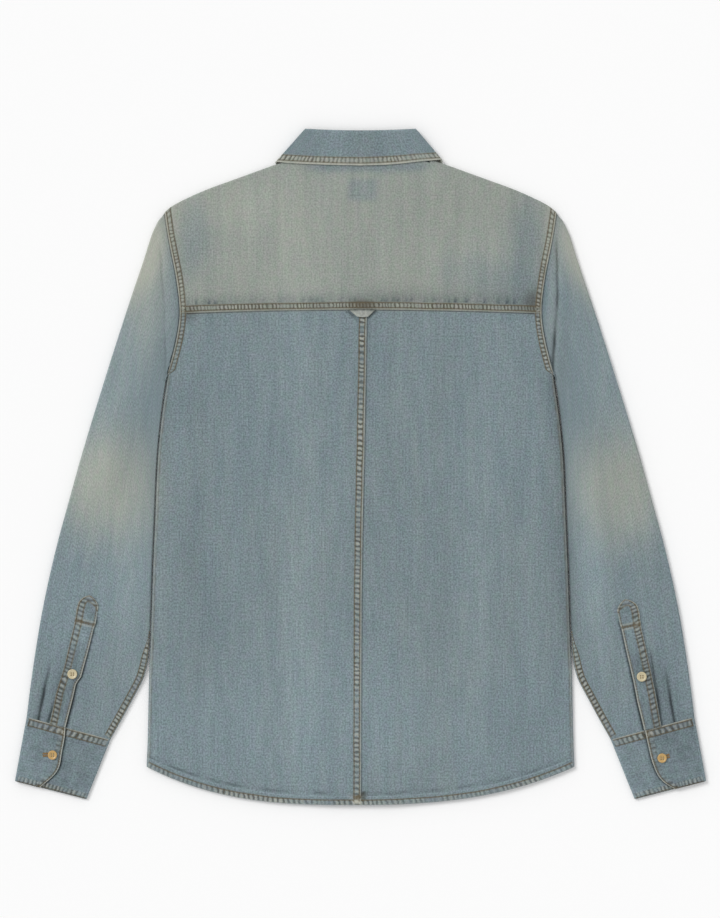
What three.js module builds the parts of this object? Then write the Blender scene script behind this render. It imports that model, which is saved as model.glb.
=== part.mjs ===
// A long-sleeved denim shirt laid flat on its front, with its back upwards and its sleeves at its sides.
// Sizes are millimetres. +X is the wearer's right, +Y runs from hem to collar, and +Z is up.
// The origin is the middle of the laid-out shirt, on the surface that it lies on.
// Every cut piece is a closed wall of cloth: an outer grid of points, and the same grid moved in by the wall.
import * as THREE from "three";

// Thickness of each kind of layer
const CLOTH = 1.2;
const CUFF_WALL = 1.6;
const COLLAR_WALL = 1.4;
const SEAM_GAP = 0.3;
const SEAM_RISE = 0.5;

// Heights over the surface
const BODY_HEIGHT = 5.0;
const CENTRE_HEIGHT = 6.9;
const SLEEVE_HEIGHT = 6.0;
const SLEEVE_END_HEIGHT = 5.7;
const CUFF_LOW_HEIGHT = 3.8;
const BUTTON_STANDOFF = 2.2;
const WING_STANDOFF = 1.8;

// Widths of felled seams and turned hems
const ARMHOLE_BAND = 8;
const YOKE_BAND = 10;
const CENTRE_BAND = 9.5;
const HEM_BAND = 9;
const BAND_STEP = 0.8;

// Front opening
const PLACKET_HALF = 16;
const PLACKET_WALL = 1.5;
const BUTTON_WIDTH = 11.4;
const BUTTON_THICK = 1.9;
const FRONT_BUTTONS = 7;
const FIRST_BUTTON_Y = 235;
const BUTTON_PITCH = 83;

// Neck, measured where the stand is sewn on
const NECK_HALF = 76;
const NECK_SIDE_Y = 355;
const NECK_BACK_Y = 350;
const NECK_FRONT_Y = 281;
const STAND_TOP_HALF = 62;
const STAND_TOP_Y = 383;
const STAND_FRONT_TOP_Y = 312;
const ROLL_HALF = 63.5;
const ROLL_SIDE_Y = 388.3;
const ROLL_BACK_Y = 386.4;
const ROLL_FRONT_Y = 314;
const STAND_OVERLAP = 9;

// Shoulder
const YOKE_FLAP = 35;

// Half width of the body down its side seam
const BODY_SIDE = [
  { y: 105, half: 222 },
  { y: 55, half: 229 },
  { y: 8, half: 233.5 },
  { y: -53, half: 236 },
  { y: -112, half: 238.5 },
  { y: -189, half: 241 },
  { y: -245, half: 243 },
  { y: -314, half: 244.5 },
  { y: -350, half: 246 },
];

// The armhole seam from shoulder tip to underarm
const ARMHOLE = [
  { y: 293, half: 225 },
  { y: 270, half: 221.5 },
  { y: 248, half: 217.5 },
  { y: 220, half: 212 },
  { y: 195, half: 208.5 },
  { y: 178, half: 207.5 },
  { y: 160, half: 209 },
  { y: 137, half: 213.5 },
  { y: 105, half: 222 },
];
const SHOULDER_TIP_Y = 293;
const UNDERARM_Y = 105;

// The folded top edge of the yoke from neck to shoulder tip
const SHOULDER = [
  { half: 0, y: 382.2 },
  { half: 97, y: 347.6 },
  { half: 146, y: 330 },
  { half: 177, y: 318.6 },
  { half: 203, y: 307 },
  { half: 216, y: 300 },
  { half: 225, y: 293 },
];

// The outer fold of a sleeve, and its inner fold beside the body
const SLEEVE_OUTER = [
  { y: 293, half: 226 },
  { y: 284, half: 231.5 },
  { y: 272.5, half: 237.5 },
  { y: 261, half: 241.8 },
  { y: 238, half: 249 },
  { y: 192, half: 264.5 },
  { y: 146, half: 279.5 },
  { y: 100, half: 294 },
  { y: 54, half: 308.3 },
  { y: 8, half: 322 },
  { y: -38, half: 334.7 },
  { y: -84, half: 347.3 },
  { y: -130, half: 358.3 },
  { y: -176, half: 367.5 },
  { y: -222, half: 375 },
  { y: -262, half: 380.5 },
  { y: -287, half: 383.5 },
];
const SLEEVE_INNER = [
  { y: 105, half: 223 },
  { y: 94, half: 227 },
  { y: 80, half: 229.3 },
  { y: 55, half: 230.9 },
  { y: 8, half: 234.2 },
  { y: -53, half: 236.7 },
  { y: -112, half: 239.2 },
  { y: -189, half: 241.8 },
  { y: -218, half: 243.6 },
  { y: -233, half: 246.5 },
  { y: -245, half: 250.4 },
  { y: -268, half: 262.5 },
  { y: -291, half: 275 },
  { y: -313, half: 287.5 },
];
const SLEEVE_OUTER_END_Y = -287;
const SLEEVE_INNER_END_Y = -313;

// Corners of a cuff
const CUFF = {
  topOuter: { half: 383.5, y: -287 },
  topInner: { half: 287.5, y: -313 },
  bottomOuter: { half: 397, y: -360.5 },
  bottomInner: { half: 315, y: -381.5 },
};

// The shirt-tail hem: its lowest point, and the rise to the side seams
const HEM_LOW = { x: -14, y: -388 };
const HEM_CORNER = { half: 246, y: -344 };
const HEM_POWER = 2.7;

// The yoke seam and the centre back seam
const YOKE_SEAM = { centreY: 181.4, drop: 2.6, half: 207 };
const CENTRE_SEAM = [
  { y: 182, x: 7.4 },
  { y: 31, x: 4.6 },
  { y: -60, x: 2.6 },
  { y: -153, x: 1.3 },
  { y: -390, x: 0.4 },
];

// Wide soft folds: a row for each, from one end to the other, with its width and height
const FOLDS = [
  { on: "sleeve", side: 1, x0: 226, y0: 268, x1: 221, y1: 120, width: 9, rise: -1.6 },
  { on: "sleeve", side: -1, x0: -231, y0: 262, x1: -224, y1: 120, width: 9, rise: -0.8 },
  { on: "sleeve", side: 1, x0: 352, y0: -240, x1: 361, y1: -290, width: 8, rise: -1.2 },
  { on: "sleeve", side: -1, x0: -357, y0: -232, x1: -370, y1: -288, width: 8, rise: -1.2 },
  { on: "sleeve", side: 1, x0: 275, y0: 90, x1: 300, y1: -60, width: 26, rise: 0.5 },
  { on: "sleeve", side: -1, x0: -262, y0: 110, x1: -296, y1: -70, width: 26, rise: 0.5 },
  { on: "body", side: 1, x0: 150, y0: 120, x1: 172, y1: -150, width: 34, rise: 0.4 },
  { on: "body", side: -1, x0: -120, y0: 60, x1: -160, y1: -230, width: 38, rise: 0.4 },
  { on: "body", side: 1, x0: 88, y0: -60, x1: 96, y1: -330, width: 30, rise: -0.3 },
  { on: "body", side: -1, x0: -196, y0: 90, x1: -204, y1: -40, width: 22, rise: -0.3 },
];

// Free edge of the collar leaf: turn is the angle round the neck from the front middle
const LEAF_EDGE = [
  { turn: 3, half: 57, y: 262 },
  { turn: 30, half: 71, y: 290 },
  { turn: 60, half: 86, y: 322 },
  { turn: 84, half: 94.5, y: 345 },
  { turn: 87, half: 97.2, y: 348.2 },
  { turn: 90, half: 98, y: 349.6 },
  { turn: 93, half: 97.2, y: 350.2 },
  { turn: 96, half: 95, y: 350 },
  { turn: 120, half: 78, y: 348.6 },
  { turn: 150, half: 42, y: 347 },
  { turn: 180, half: 0, y: 346 },
];

// Height of the leaf's outer face over the back, from its roll to its free edge
const LEAF_PROFILE = [
  { share: 0, z: 6.4 },
  { share: 0.04, z: 7.7 },
  { share: 0.12, z: 8.4 },
  { share: 0.35, z: 8.1 },
  { share: 0.7, z: 7.4 },
  { share: 1, z: 6.9 },
];

// Sleeve plackets: foot and point of the centre line
const SLEEVE_PLACKETS = [
  { side: -1, footX: -344, footY: -294, pointX: -310.5, pointY: -147.5 },
  { side: 1, footX: 334, footY: -295.5, pointX: 303.5, pointY: -152 },
];
const SLEEVE_PLACKET_HALF = 9.8;
const SLEEVE_PLACKET_SHAPE = [
  { share: 0, width: 0.86 },
  { share: 0.2, width: 0.9 },
  { share: 0.4, width: 0.95 },
  { share: 0.6, width: 1 },
  { share: 0.8, width: 1 },
  { share: 0.92, width: 1 },
  { share: 0.965, width: 0.72 },
  { share: 1, width: 0.22 },
];

// Free edge of each cuff's upper flap, as a share of the cuff's width at each share of its depth
const CUFF_FLAPS = [
  {
    side: -1,
    edge: [
      { depth: 0, across: 0.47 },
      { depth: 0.5, across: 0.49 },
      { depth: 0.74, across: 0.485 },
      { depth: 0.86, across: 0.43 },
      { depth: 1, across: 0.36 },
    ],
  },
  {
    side: 1,
    edge: [
      { depth: 0, across: 0.58 },
      { depth: 0.5, across: 0.585 },
      { depth: 0.74, across: 0.56 },
      { depth: 0.88, across: 0.5 },
      { depth: 1, across: 0.38 },
    ],
  },
];

// Buttons on the outside of the sleeves
const SLEEVE_BUTTONS = [
  { name: "placket_button_left", x: -330.5, y: -237.5, width: 11.4, on: "placket" },
  { name: "placket_button_right", x: 322.5, y: -240.5, width: 11.4, on: "placket" },
  { name: "cuff_button_left", x: -353.5, y: -330.5, width: 10.8, on: "cuff" },
  { name: "cuff_button_right", x: 346, y: -334, width: 10.8, on: "cuff" },
];

// Hanger loop: a narrow strip in a shallow arch under the yoke seam, drawn in along its lower edge
const LOOP = { left: -15, right: 18.5, topY: 177.9, dip: 3.4, width: 6, endShare: 0.6, draw: 5, clear: 1.1 };

// General shape helpers

const clamp = (t) => Math.min(1, Math.max(0, t));
const mix = (a, b, t) => a + (b - a) * t;

/** A smooth step from 0 at a to 1 at b. */
function ramp(a, b, value) {
  const t = clamp((value - a) / (b - a));
  return t * t * (3 - 2 * t);
}

/** A smooth curve through a table's rows: column `to` as a function of column `from`. */
function curve(table, from, to) {
  const rows = [...table].sort((a, b) => a[from] - b[from]);
  const slopes = rows.map((row, i) => {
    const before = rows[Math.max(0, i - 1)];
    const after = rows[Math.min(rows.length - 1, i + 1)];
    return (after[to] - before[to]) / (after[from] - before[from]);
  });
  return (value) => {
    const last = rows.length - 2;
    let i = 0;
    while (i < last && value > rows[i + 1][from]) i += 1;
    const span = rows[i + 1][from] - rows[i][from];
    const t = clamp((value - rows[i][from]) / span);
    const rise = rows[i + 1][to] - rows[i][to];
    const a = slopes[i] * span - rise;
    const b = rise - slopes[i + 1] * span;
    return rows[i][to] + rise * t + t * (1 - t) * (a * (1 - t) + b * t);
  };
}

/** Unit normals of a grid of points, turned to the side that `side` says. */
function normalsOf(points, ring, side) {
  const rows = points.length;
  const columns = points[0].length;
  return points.map((row, i) =>
    row.map((_, j) => {
      const left = ring ? (j + columns - 1) % columns : Math.max(0, j - 1);
      const right = ring ? (j + 1) % columns : Math.min(columns - 1, j + 1);
      const across = points[i][right].clone().sub(points[i][left]);
      const along = points[Math.min(rows - 1, i + 1)][j].clone().sub(points[Math.max(0, i - 1)][j]);
      return across.cross(along).normalize().multiplyScalar(side);
    }),
  );
}

/** Six times the signed volume inside a list of triangles. */
function signedVolume(positions, triangles) {
  const [a, b, c] = [new THREE.Vector3(), new THREE.Vector3(), new THREE.Vector3()];
  let sum = 0;
  for (let i = 0; i < triangles.length; i += 3) {
    a.fromArray(positions, triangles[i] * 3);
    b.fromArray(positions, triangles[i + 1] * 3);
    c.fromArray(positions, triangles[i + 2] * 3);
    sum += a.dot(b.cross(c));
  }
  return sum;
}

/** A closed geometry between an outer and an inner grid; `ring` joins the last column to the first. */
function between(outer, inner, ring) {
  const rows = outer.length;
  const columns = outer[0].length;
  const count = rows * columns;
  const positions = [...outer, ...inner].flat().flatMap((p) => [p.x, p.y, p.z]);
  const out = (i, j) => i * columns + (j % columns);
  const triangles = [];
  const quad = (a, b, c, d) => triangles.push(a, b, c, a, c, d);
  const wide = ring ? columns : columns - 1;
  for (let i = 0; i < rows - 1; i += 1) {
    for (let j = 0; j < wide; j += 1) {
      const [a, b, c, d] = [out(i, j), out(i, j + 1), out(i + 1, j + 1), out(i + 1, j)];
      quad(a, b, c, d);
      quad(d + count, c + count, b + count, a + count);
    }
  }
  for (let j = 0; j < wide; j += 1) {
    quad(out(0, j) + count, out(0, j + 1) + count, out(0, j + 1), out(0, j));
    const end = rows - 1;
    quad(out(end, j), out(end, j + 1), out(end, j + 1) + count, out(end, j) + count);
  }
  for (let i = 0; i < rows - 1 && !ring; i += 1) {
    quad(out(i, 0), out(i + 1, 0), out(i + 1, 0) + count, out(i, 0) + count);
    const end = columns - 1;
    quad(out(i + 1, end), out(i, end), out(i, end) + count, out(i + 1, end) + count);
  }
  if (signedVolume(positions, triangles) < 0) triangles.reverse();
  return new THREE.BufferGeometry()
    .setAttribute("position", new THREE.Float32BufferAttribute(positions, 3))
    .setIndex(triangles);
}

/** A wall of cloth whose outer face is the grid; its inner face is the grid moved in by `wall`. */
function clothWall(points, wall, { ring = false, side = 1 } = {}) {
  const normals = normalsOf(points, ring, side);
  const inner = points.map((row, i) =>
    row.map((p, j) => p.clone().addScaledVector(normals[i][j], -wall)),
  );
  return between(points, inner, ring);
}

/** A flat-bottomed or level layer: the grid is its upper face, and the lower face is straight below. */
function layer(points, wall) {
  const lower = points.map((row) => row.map((p) => new THREE.Vector3(p.x, p.y, p.z - wall)));
  return between(points, lower, false);
}

/** The cross-section of a rounded fold: how far in from the fold, and how high, at an arc length past it. */
function foldOver(arc, height) {
  const radius = height / 2;
  const quarter = (radius * Math.PI) / 2;
  const angle = Math.max(-quarter, Math.min(quarter, arc)) / radius;
  const past = Math.max(0, Math.abs(arc) - quarter);
  return { inward: radius * (1 - Math.cos(angle)) + past, level: (1 + Math.sin(angle)) / 2 };
}

// Outlines and heights of the laid shirt

const bodySide = curve(BODY_SIDE, "y", "half");
const armhole = curve(ARMHOLE, "y", "half");
const shoulderY = curve(SHOULDER, "half", "y");
const sleeveOuter = curve(SLEEVE_OUTER, "y", "half");
const sleeveInner = curve(SLEEVE_INNER, "y", "half");
const centreSeamX = curve(CENTRE_SEAM, "y", "x");
const leafEdgeHalf = curve(LEAF_EDGE, "turn", "half");
const leafEdgeY = curve(LEAF_EDGE, "turn", "y");
const leafZ = curve(LEAF_PROFILE, "share", "z");

/** Half width of the body at a height: its armhole above the underarm, its side seam below. */
const bodyEdge = (y) => (y > UNDERARM_Y ? armhole(y) : bodySide(y));

/** Height of the yoke seam's folded edge. */
const yokeSeamY = (x) => YOKE_SEAM.centreY - YOKE_SEAM.drop * (x / YOKE_SEAM.half) ** 2;

/** Height of the hem's folded edge. */
function hemY(x) {
  const reach = Math.sign(x - HEM_LOW.x) * HEM_CORNER.half - HEM_LOW.x;
  return HEM_LOW.y + (HEM_CORNER.y - HEM_LOW.y) * Math.abs((x - HEM_LOW.x) / reach) ** HEM_POWER;
}

/** The front neckline, an ellipse's lower half. */
function frontNeckY(x) {
  const share = Math.sqrt(Math.max(0, 1 - (x / NECK_HALF) ** 2));
  return NECK_SIDE_Y - (NECK_SIDE_Y - NECK_FRONT_Y) * share;
}

/** What the soft folds add at a point. */
function foldRise(on, x, y) {
  let sum = 0;
  for (const fold of FOLDS) {
    if (fold.on !== on || fold.side !== Math.sign(x)) continue;
    const [dx, dy] = [fold.x1 - fold.x0, fold.y1 - fold.y0];
    const length = Math.hypot(dx, dy);
    const along = ((x - fold.x0) * dx + (y - fold.y0) * dy) / length;
    const beside = ((x - fold.x0) * dy - (y - fold.y0) * dx) / length;
    const fade = ramp(-0.2 * length, 0.2 * length, along) * ramp(1.2 * length, 0.9 * length, along);
    sum += fold.rise * fade * Math.exp(-((beside / fold.width) ** 2));
  }
  return sum;
}

/** How far a front lies over the surface, because a collar wing is under it. */
function wingStandoff(x, y) {
  const [centreHalf, centreY, wide, tall] = [62, 310, 46, 61];
  const reach = Math.hypot((Math.abs(x) - centreHalf) / wide, (y - centreY) / tall);
  return WING_STANDOFF * (1 - ramp(1.15, 1.6, reach));
}

/** Height of the back's outer face, away from its folded edges. */
function bodyTop(x, y) {
  const crown = (1 - ramp(22, 78, Math.abs(x))) * (1 - ramp(318, 350, y));
  return BODY_HEIGHT + (CENTRE_HEIGHT - BODY_HEIGHT) * crown + foldRise("body", x, y);
}

/** Height of a sleeve's outer face: level with the body at the armhole and with the cuff at its end. */
function sleeveTop(x, y) {
  const half = Math.abs(x);
  const swell = ramp(SHOULDER_TIP_Y, 60, y) * (1 - ramp(-150, SLEEVE_OUTER_END_Y, y));
  const nearCuff = ramp(-170, -300, y);
  const plain = mix(BODY_HEIGHT, SLEEVE_HEIGHT, swell);
  const atCuff = mix(CUFF_LOW_HEIGHT, SLEEVE_END_HEIGHT, ramp(305, 345, half + (y + 300) * 0.25));
  return mix(plain, atCuff, nearCuff) + foldRise("sleeve", x, y);
}

/** A point of one side's shape: `half` is its distance from the middle. */
const at = (side, half, y, z) => new THREE.Vector3(side * half, y, z);

// Back panels and yoke

/** A share for each column across a panel: fine steps at the outer edge, and at the inner one if asked. */
function panelColumns(width, even, innerBand) {
  const edge = [0, 0.5, 1.6, 3.4, ARMHOLE_BAND, ARMHOLE_BAND + BAND_STEP];
  const start = innerBand ? [0, innerBand, innerBand + BAND_STEP] : [0];
  const from = start[start.length - 1];
  const to = width - edge[edge.length - 1];
  const middle = Array.from({ length: even - 1 }, (_, i) => mix(from, to, (i + 1) / even));
  return [...start, ...middle, ...edge.reverse().map((d) => width - d)].map((d) => d / width);
}

/** Height of a panel's outer face near its outer edge, which rolls down below the underarm. */
function edgeHeight(top, fromEdge, y) {
  const inArmhole = ramp(UNDERARM_Y - 6, UNDERARM_Y + 8, y);
  const low = CLOTH + SEAM_GAP + CLOTH;
  const share = Math.sqrt(1 - (1 - clamp(fromEdge / 4)) ** 2);
  return mix(mix(low, top, share), top, inArmhole);
}

/** Rise of the felled band along the armhole. */
function armholeRise(fromEdge, y) {
  const there = fromEdge <= ARMHOLE_BAND + 0.1 && y > UNDERARM_Y - 4;
  return there ? SEAM_RISE : 0;
}

/** One lower back panel, from the yoke seam to the hem; the left one carries the felled centre seam. */
function backPanel(side) {
  const stations = [176, 160, 140, 122, UNDERARM_Y, 60, 10, -50, -110, -170, -230, -285];
  const hemSteps = [HEM_BAND + BAND_STEP, HEM_BAND, 0];
  const columns = panelColumns(HEM_CORNER.half, 6, side < 0 ? CENTRE_BAND : 0);
  const rowsOf = (x) => [
    yokeSeamY(x) - SEAM_GAP,
    ...stations,
    ...hemSteps.map((step) => hemY(x) + step),
  ];
  const grid = rowsOf(0).map((_, row) =>
    columns.map((share) => {
      const y = rowsOf(side * share * HEM_CORNER.half)[row];
      const inner = side * (centreSeamX(y) + side * SEAM_GAP * 0.5);
      const half = mix(inner, bodyEdge(y), share);
      const x = side * half;
      const inCentreBand = side < 0 && half - inner <= CENTRE_BAND + 0.1;
      const inHem = row >= rowsOf(0).length - 2;
      const rise = Math.max(inCentreBand || inHem ? SEAM_RISE : 0, armholeRise(bodyEdge(y) - half, y));
      return at(side, half, y, edgeHeight(bodyTop(x, y), bodyEdge(y) - half, y) + rise);
    }),
  );
  return layer(grid, CLOTH);
}

/** Columns of the yoke, outermost first: half widths at its start, on the shoulder fold and at its seam. */
const YOKE_COLUMNS = [
  { start: 187, past: -YOKE_FLAP, fold: 189, seam: 172 },
  { start: 147, past: -YOKE_FLAP, fold: 151, seam: 138 },
  { start: 108, past: -YOKE_FLAP, fold: 117, seam: 106 },
  { start: 84, past: -YOKE_FLAP, fold: 103, seam: 84 },
  { start: 70.6, past: -YOKE_FLAP, fold: 95, seam: 70 },
  { start: 76, past: -20, fold: 89, seam: 60 },
  { start: 78.4, past: -6, fold: 83.5, seam: 50 },
  { start: 79.4, past: 6.4, fold: 79.4, seam: 40 },
  { start: 55, past: 15, fold: 55, seam: 27 },
  { start: 28, past: 24.6, fold: 28, seam: 13 },
  { start: 0, past: 34.2, fold: 0, seam: 0 },
];
const SHOULDER_ROLLS = [-4.2, -2.6, -0.9, 0.9, 2.6, 4.2];
const YOKE_ROWS = [0.12, 0.34, 0.56, 0.78];

/** How far each row of a yoke column lies past the shoulder fold. */
function yokeSteps(first, last) {
  const rolls = SHOULDER_ROLLS.map((roll, i) => Math.max(roll, first + 1.2 * (i + 1)));
  const from = rolls[rolls.length - 1];
  const band = last - YOKE_BAND;
  return [first, ...rolls, ...YOKE_ROWS.map((t) => mix(from, band, t)), band - BAND_STEP, band, last];
}

/** The yoke: over the back, round the folded shoulders, and a short way down the front. */
function yoke() {
  const point = (side, half, y, level, rise) => {
    const x = side * half;
    return at(side, half, y, mix(wingStandoff(x, y), bodyTop(x, y), level) + rise);
  };
  const seamRise = (row, rows) => (row >= rows - 2 ? SEAM_RISE : 0);
  const edgeColumn = (side, inFromEdge, rise) => {
    const topY = shoulderY(armhole(SHOULDER_TIP_Y) - inFromEdge);
    const seamY = yokeSeamY(YOKE_SEAM.half - inFromEdge);
    const flapY = shoulderY(armhole(263) - inFromEdge) - YOKE_FLAP + 1.43;
    const steps = yokeSteps(flapY - topY - 1.43, topY - seamY + 1.43);
    return steps.map((past, row) => {
      const bent = foldOver(past, BODY_HEIGHT);
      const y = row === steps.length - 1 ? seamY : topY - bent.inward;
      const half = armhole(Math.min(SHOULDER_TIP_Y, y)) - inFromEdge;
      const onBand = bent.level > 0.9 ? rise : 0;
      return point(side, half, y, bent.level, Math.max(onBand, seamRise(row, steps.length)));
    });
  };
  const column = (side, { start, past: first, fold, seam }) => {
    const last = shoulderY(seam) - yokeSeamY(seam) + 1.43;
    const steps = yokeSteps(first, last);
    return steps.map((past, row) => {
      const bent = foldOver(past, BODY_HEIGHT);
      const front = past < 0 ? mix(start, fold, (past - first) / -first) : null;
      const half = front ?? mix(fold, seam, (past - Math.max(0, first)) / (last - Math.max(0, first)));
      const y = row === steps.length - 1 ? yokeSeamY(half) : shoulderY(half) - bent.inward;
      return point(side, half, y, bent.level, seamRise(row, steps.length));
    });
  };
  const half = (side) => [
    edgeColumn(side, 0, SEAM_RISE),
    edgeColumn(side, ARMHOLE_BAND, SEAM_RISE),
    edgeColumn(side, ARMHOLE_BAND + BAND_STEP, 0),
    ...YOKE_COLUMNS.map((row) => column(side, row)),
  ];
  const columns = [...half(-1), ...half(1).slice(0, -1).reverse()];
  const grid = columns[0].map((_, row) => columns.map((points) => points[row]));
  return clothWall(grid, CLOTH, { side: -1 });
}

// Fronts and their opening

/** Height of the surface under a front's outer face. */
function frontBase(side, x, y) {
  const half = Math.abs(x);
  const overPlacket = BUTTON_STANDOFF + PLACKET_WALL + SEAM_GAP;
  const centre = side > 0
    ? overPlacket * (1 - ramp(PLACKET_HALF + 1, 66, x))
    : BUTTON_STANDOFF * (1 - ramp(PLACKET_HALF + 1, 62, half));
  return Math.max(centre, wingStandoff(x, y) * ramp(12, 22, half));
}

/** Height of a front's upper edge: the yoke's front seam, or the neckline inside it. */
function frontTopY(half) {
  const seam = shoulderY(half) - YOKE_FLAP + 1.43;
  return (half < 69 ? Math.min(frontNeckY(half), seam + 2) : seam) - SEAM_GAP - 0.6;
}

/** One front, from the yoke's front seam and the neckline to the hem. */
function frontPanel(side) {
  const inner = side > 0 ? -PLACKET_HALF + 2 : PLACKET_HALF + SEAM_GAP;
  const shares = side > 0
    ? [0, 0.06, 0.13, 0.18, 0.25, 0.3, 0.345, 0.45, 0.58, 0.72, 0.86, 0.95, 1]
    : [0, 0.07, 0.14, 0.19, 0.243, 0.35, 0.48, 0.6, 0.72, 0.86, 0.95, 1];
  const rows = [
    ...[0, 0.15, 0.3, 0.45, 0.6, 0.75, 0.88, 1].map((down) => ({ down })),
    ...[60, 10, -50, -110, -170, -230, -290].map((y) => ({ y })),
    { hem: true },
  ];
  const grid = rows.map((row) =>
    shares.map((share) => {
      let half = mix(inner, HEM_CORNER.half - 25, share);
      let y = 0;
      for (let pass = 0; pass < 4; pass += 1) {
        y = row.y ?? mix(frontTopY(Math.abs(half)), UNDERARM_Y, row.down);
        if (row.hem) y = hemY(side * half) + 1;
        half = mix(inner, bodyEdge(y) - (y > UNDERARM_Y ? 1 : 0.2), share);
      }
      return at(side, half, y, frontBase(side, side * half, y) + CLOTH);
    }),
  );
  return layer(grid, CLOTH);
}

/** The buttonhole band down the middle of the left front. */
function frontPlacket() {
  const ys = [NECK_FRONT_Y - SEAM_GAP, 180, 60, -60, -180, -300, HEM_LOW.y + 1.5];
  const xs = [-PLACKET_HALF, -5, 5, PLACKET_HALF];
  const grid = ys.map((y) => xs.map((x) => new THREE.Vector3(x, y, BUTTON_STANDOFF + PLACKET_WALL)));
  return layer(grid, PLACKET_WALL);
}

// Collar

/** A point of a curve round the neck: an ellipse in front, a shallow arc behind. */
function roundNeck(turn, half, sideY, frontY, backY) {
  const [s, c] = [Math.sin(turn), Math.cos(turn)];
  return { x: half * s, y: c > 0 ? mix(sideY, frontY, c) : mix(sideY, backY, c * c) };
}

/** Angles round the neck in degrees, from the left end by way of the back to the right end. */
function turnsRound(first) {
  const half = [first, 12, 24, 36, 48, 60, 70, 78, 84, 87, 90, 93, 96, 104, 114, 126, 140, 160];
  return [...half, 180, ...half.map((turn) => 360 - turn).reverse()];
}

/** The stand: a band round the neck whose ends lap at the front. */
function collarStand() {
  const grid = [0, 0.5, 1].map((up) =>
    turnsRound(-STAND_OVERLAP).map((degrees) => {
      const turn = -THREE.MathUtils.degToRad(degrees);
      const low = roundNeck(turn, NECK_HALF - 2, NECK_SIDE_Y, NECK_FRONT_Y + SEAM_GAP, NECK_BACK_Y + 1);
      const high = roundNeck(turn, STAND_TOP_HALF, STAND_TOP_Y, STAND_FRONT_TOP_Y, STAND_TOP_Y - 1);
      const [x, y] = [mix(low.x, high.x, up), mix(low.y, high.y, up)];
      const lapped = degrees > 270 ? (CLOTH + SEAM_GAP) * (1 - ramp(14, 34, x)) : 0;
      const front = BUTTON_STANDOFF - 0.4 * ramp(20, 60, Math.abs(x)) + lapped;
      const level = (1 - THREE.MathUtils.clamp(Math.cos(turn) / 0.2, -1, 1)) / 2;
      const z = mix(front, BODY_HEIGHT, Math.sin((level * Math.PI) / 2) ** 2);
      return new THREE.Vector3(x, y, z);
    }),
  );
  return clothWall(grid, CLOTH, { side: 1 });
}

/** The leaf: folded over the stand, flat over the back and with its two points on the surface in front. */
function collarLeaf() {
  const shares = LEAF_PROFILE.map((row) => row.share);
  const grid = shares.map((share) =>
    turnsRound(3).map((degrees) => {
      const turn = -THREE.MathUtils.degToRad(degrees);
      const roll = roundNeck(turn, ROLL_HALF, ROLL_SIDE_Y, ROLL_FRONT_Y, ROLL_BACK_Y);
      const fromFront = Math.min(degrees, 360 - degrees);
      const side = Math.sign(Math.sin(turn)) || 1;
      const x = mix(roll.x, side * leafEdgeHalf(fromFront), share);
      const y = mix(roll.y, leafEdgeY(fromFront), share);
      const level = ramp(86, 94, fromFront);
      return new THREE.Vector3(x, y, mix(0, leafZ(share), level));
    }),
  );
  return clothWall(grid, COLLAR_WALL, { side: -1 });
}

// Sleeves, plackets and cuffs

/** A point of a sleeve's flat shape: across from outer to inner fold, and down from armhole to cuff. */
function sleevePlan(across, down) {
  const outerY = mix(SHOULDER_TIP_Y, SLEEVE_OUTER_END_Y, down);
  const innerY = mix(UNDERARM_Y, SLEEVE_INNER_END_Y, down);
  const [outer, inner] = [sleeveOuter(outerY), sleeveInner(innerY)];
  const straight = mix(armhole(SHOULDER_TIP_Y), armhole(UNDERARM_Y), across);
  const curved = armhole(mix(SHOULDER_TIP_Y, UNDERARM_Y, across)) - straight;
  const fade = 1 - ramp(0, mix(0.3, 0.07, across), down);
  return {
    half: mix(outer, inner, across) + curved * fade,
    y: mix(outerY, innerY, across),
    width: Math.hypot(outer - inner, outerY - innerY),
  };
}

/** A ring of places round a flattened tube: distance in from the outer fold, and level from 0 to 1. */
function ringSteps(width, height, over, under) {
  const radius = height / 2;
  const bend = [-65, -22, 22, 65].map((degrees) => THREE.MathUtils.degToRad(degrees));
  const level = (angle) => (1 + Math.sin(angle)) / 2;
  const outer = bend.map((a) => ({ in: radius * (1 - Math.cos(a)), level: level(a) }));
  const inner = [...bend].reverse().map((a) => ({ in: width - radius * (1 - Math.cos(a)), level: level(a) }));
  const flat = (count, z) =>
    Array.from({ length: count }, (_, i) => ({ in: mix(radius, width - radius, i / (count - 1)), level: z }));
  return [...outer, ...flat(over, 1), ...inner, ...flat(under, 0).reverse()];
}

/** A sleeve: one closed tube of cloth, flattened, from the armhole to the cuff seam. */
function sleeve(side) {
  const downs = [0, 0.03, 0.08, 0.15, 0.22, 0.3, 0.38, 0.46, 0.54, 0.62, 0.7, 0.77, 0.83, 0.88, 0.92, 0.96, 1];
  const grid = downs.map((down) => {
    const width = sleevePlan(0, down).width;
    return ringSteps(width, BODY_HEIGHT, 12, 5).map((step) => {
      const place = sleevePlan(step.in / width, down);
      const z = step.level * sleeveTop(side * place.half, place.y);
      return at(side, place.half, place.y + (down === 1 ? SEAM_GAP : 0), z);
    });
  });
  return clothWall(grid, CLOTH, { ring: true, side });
}

/** A sleeve placket: a narrow pointed strip that lies on the sleeve over its slit. */
function sleevePlacket({ side, footX, footY, pointX, pointY }) {
  const length = Math.hypot(pointX - footX, pointY - footY);
  const along = { x: (pointX - footX) / length, y: (pointY - footY) / length };
  const grid = SLEEVE_PLACKET_SHAPE.map((row) =>
    [-1, -0.5, 0, 0.5, 1].map((across) => {
      const off = across * SLEEVE_PLACKET_HALF * row.width;
      const x = mix(footX, pointX, row.share) + off * along.y;
      const y = mix(footY, pointY, row.share) - off * along.x;
      return new THREE.Vector3(x, y, sleeveTop(x, y) + SEAM_GAP + 0.1 + CLOTH);
    }),
  );
  return { grid, geometry: layer(grid, CLOTH) };
}

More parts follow.
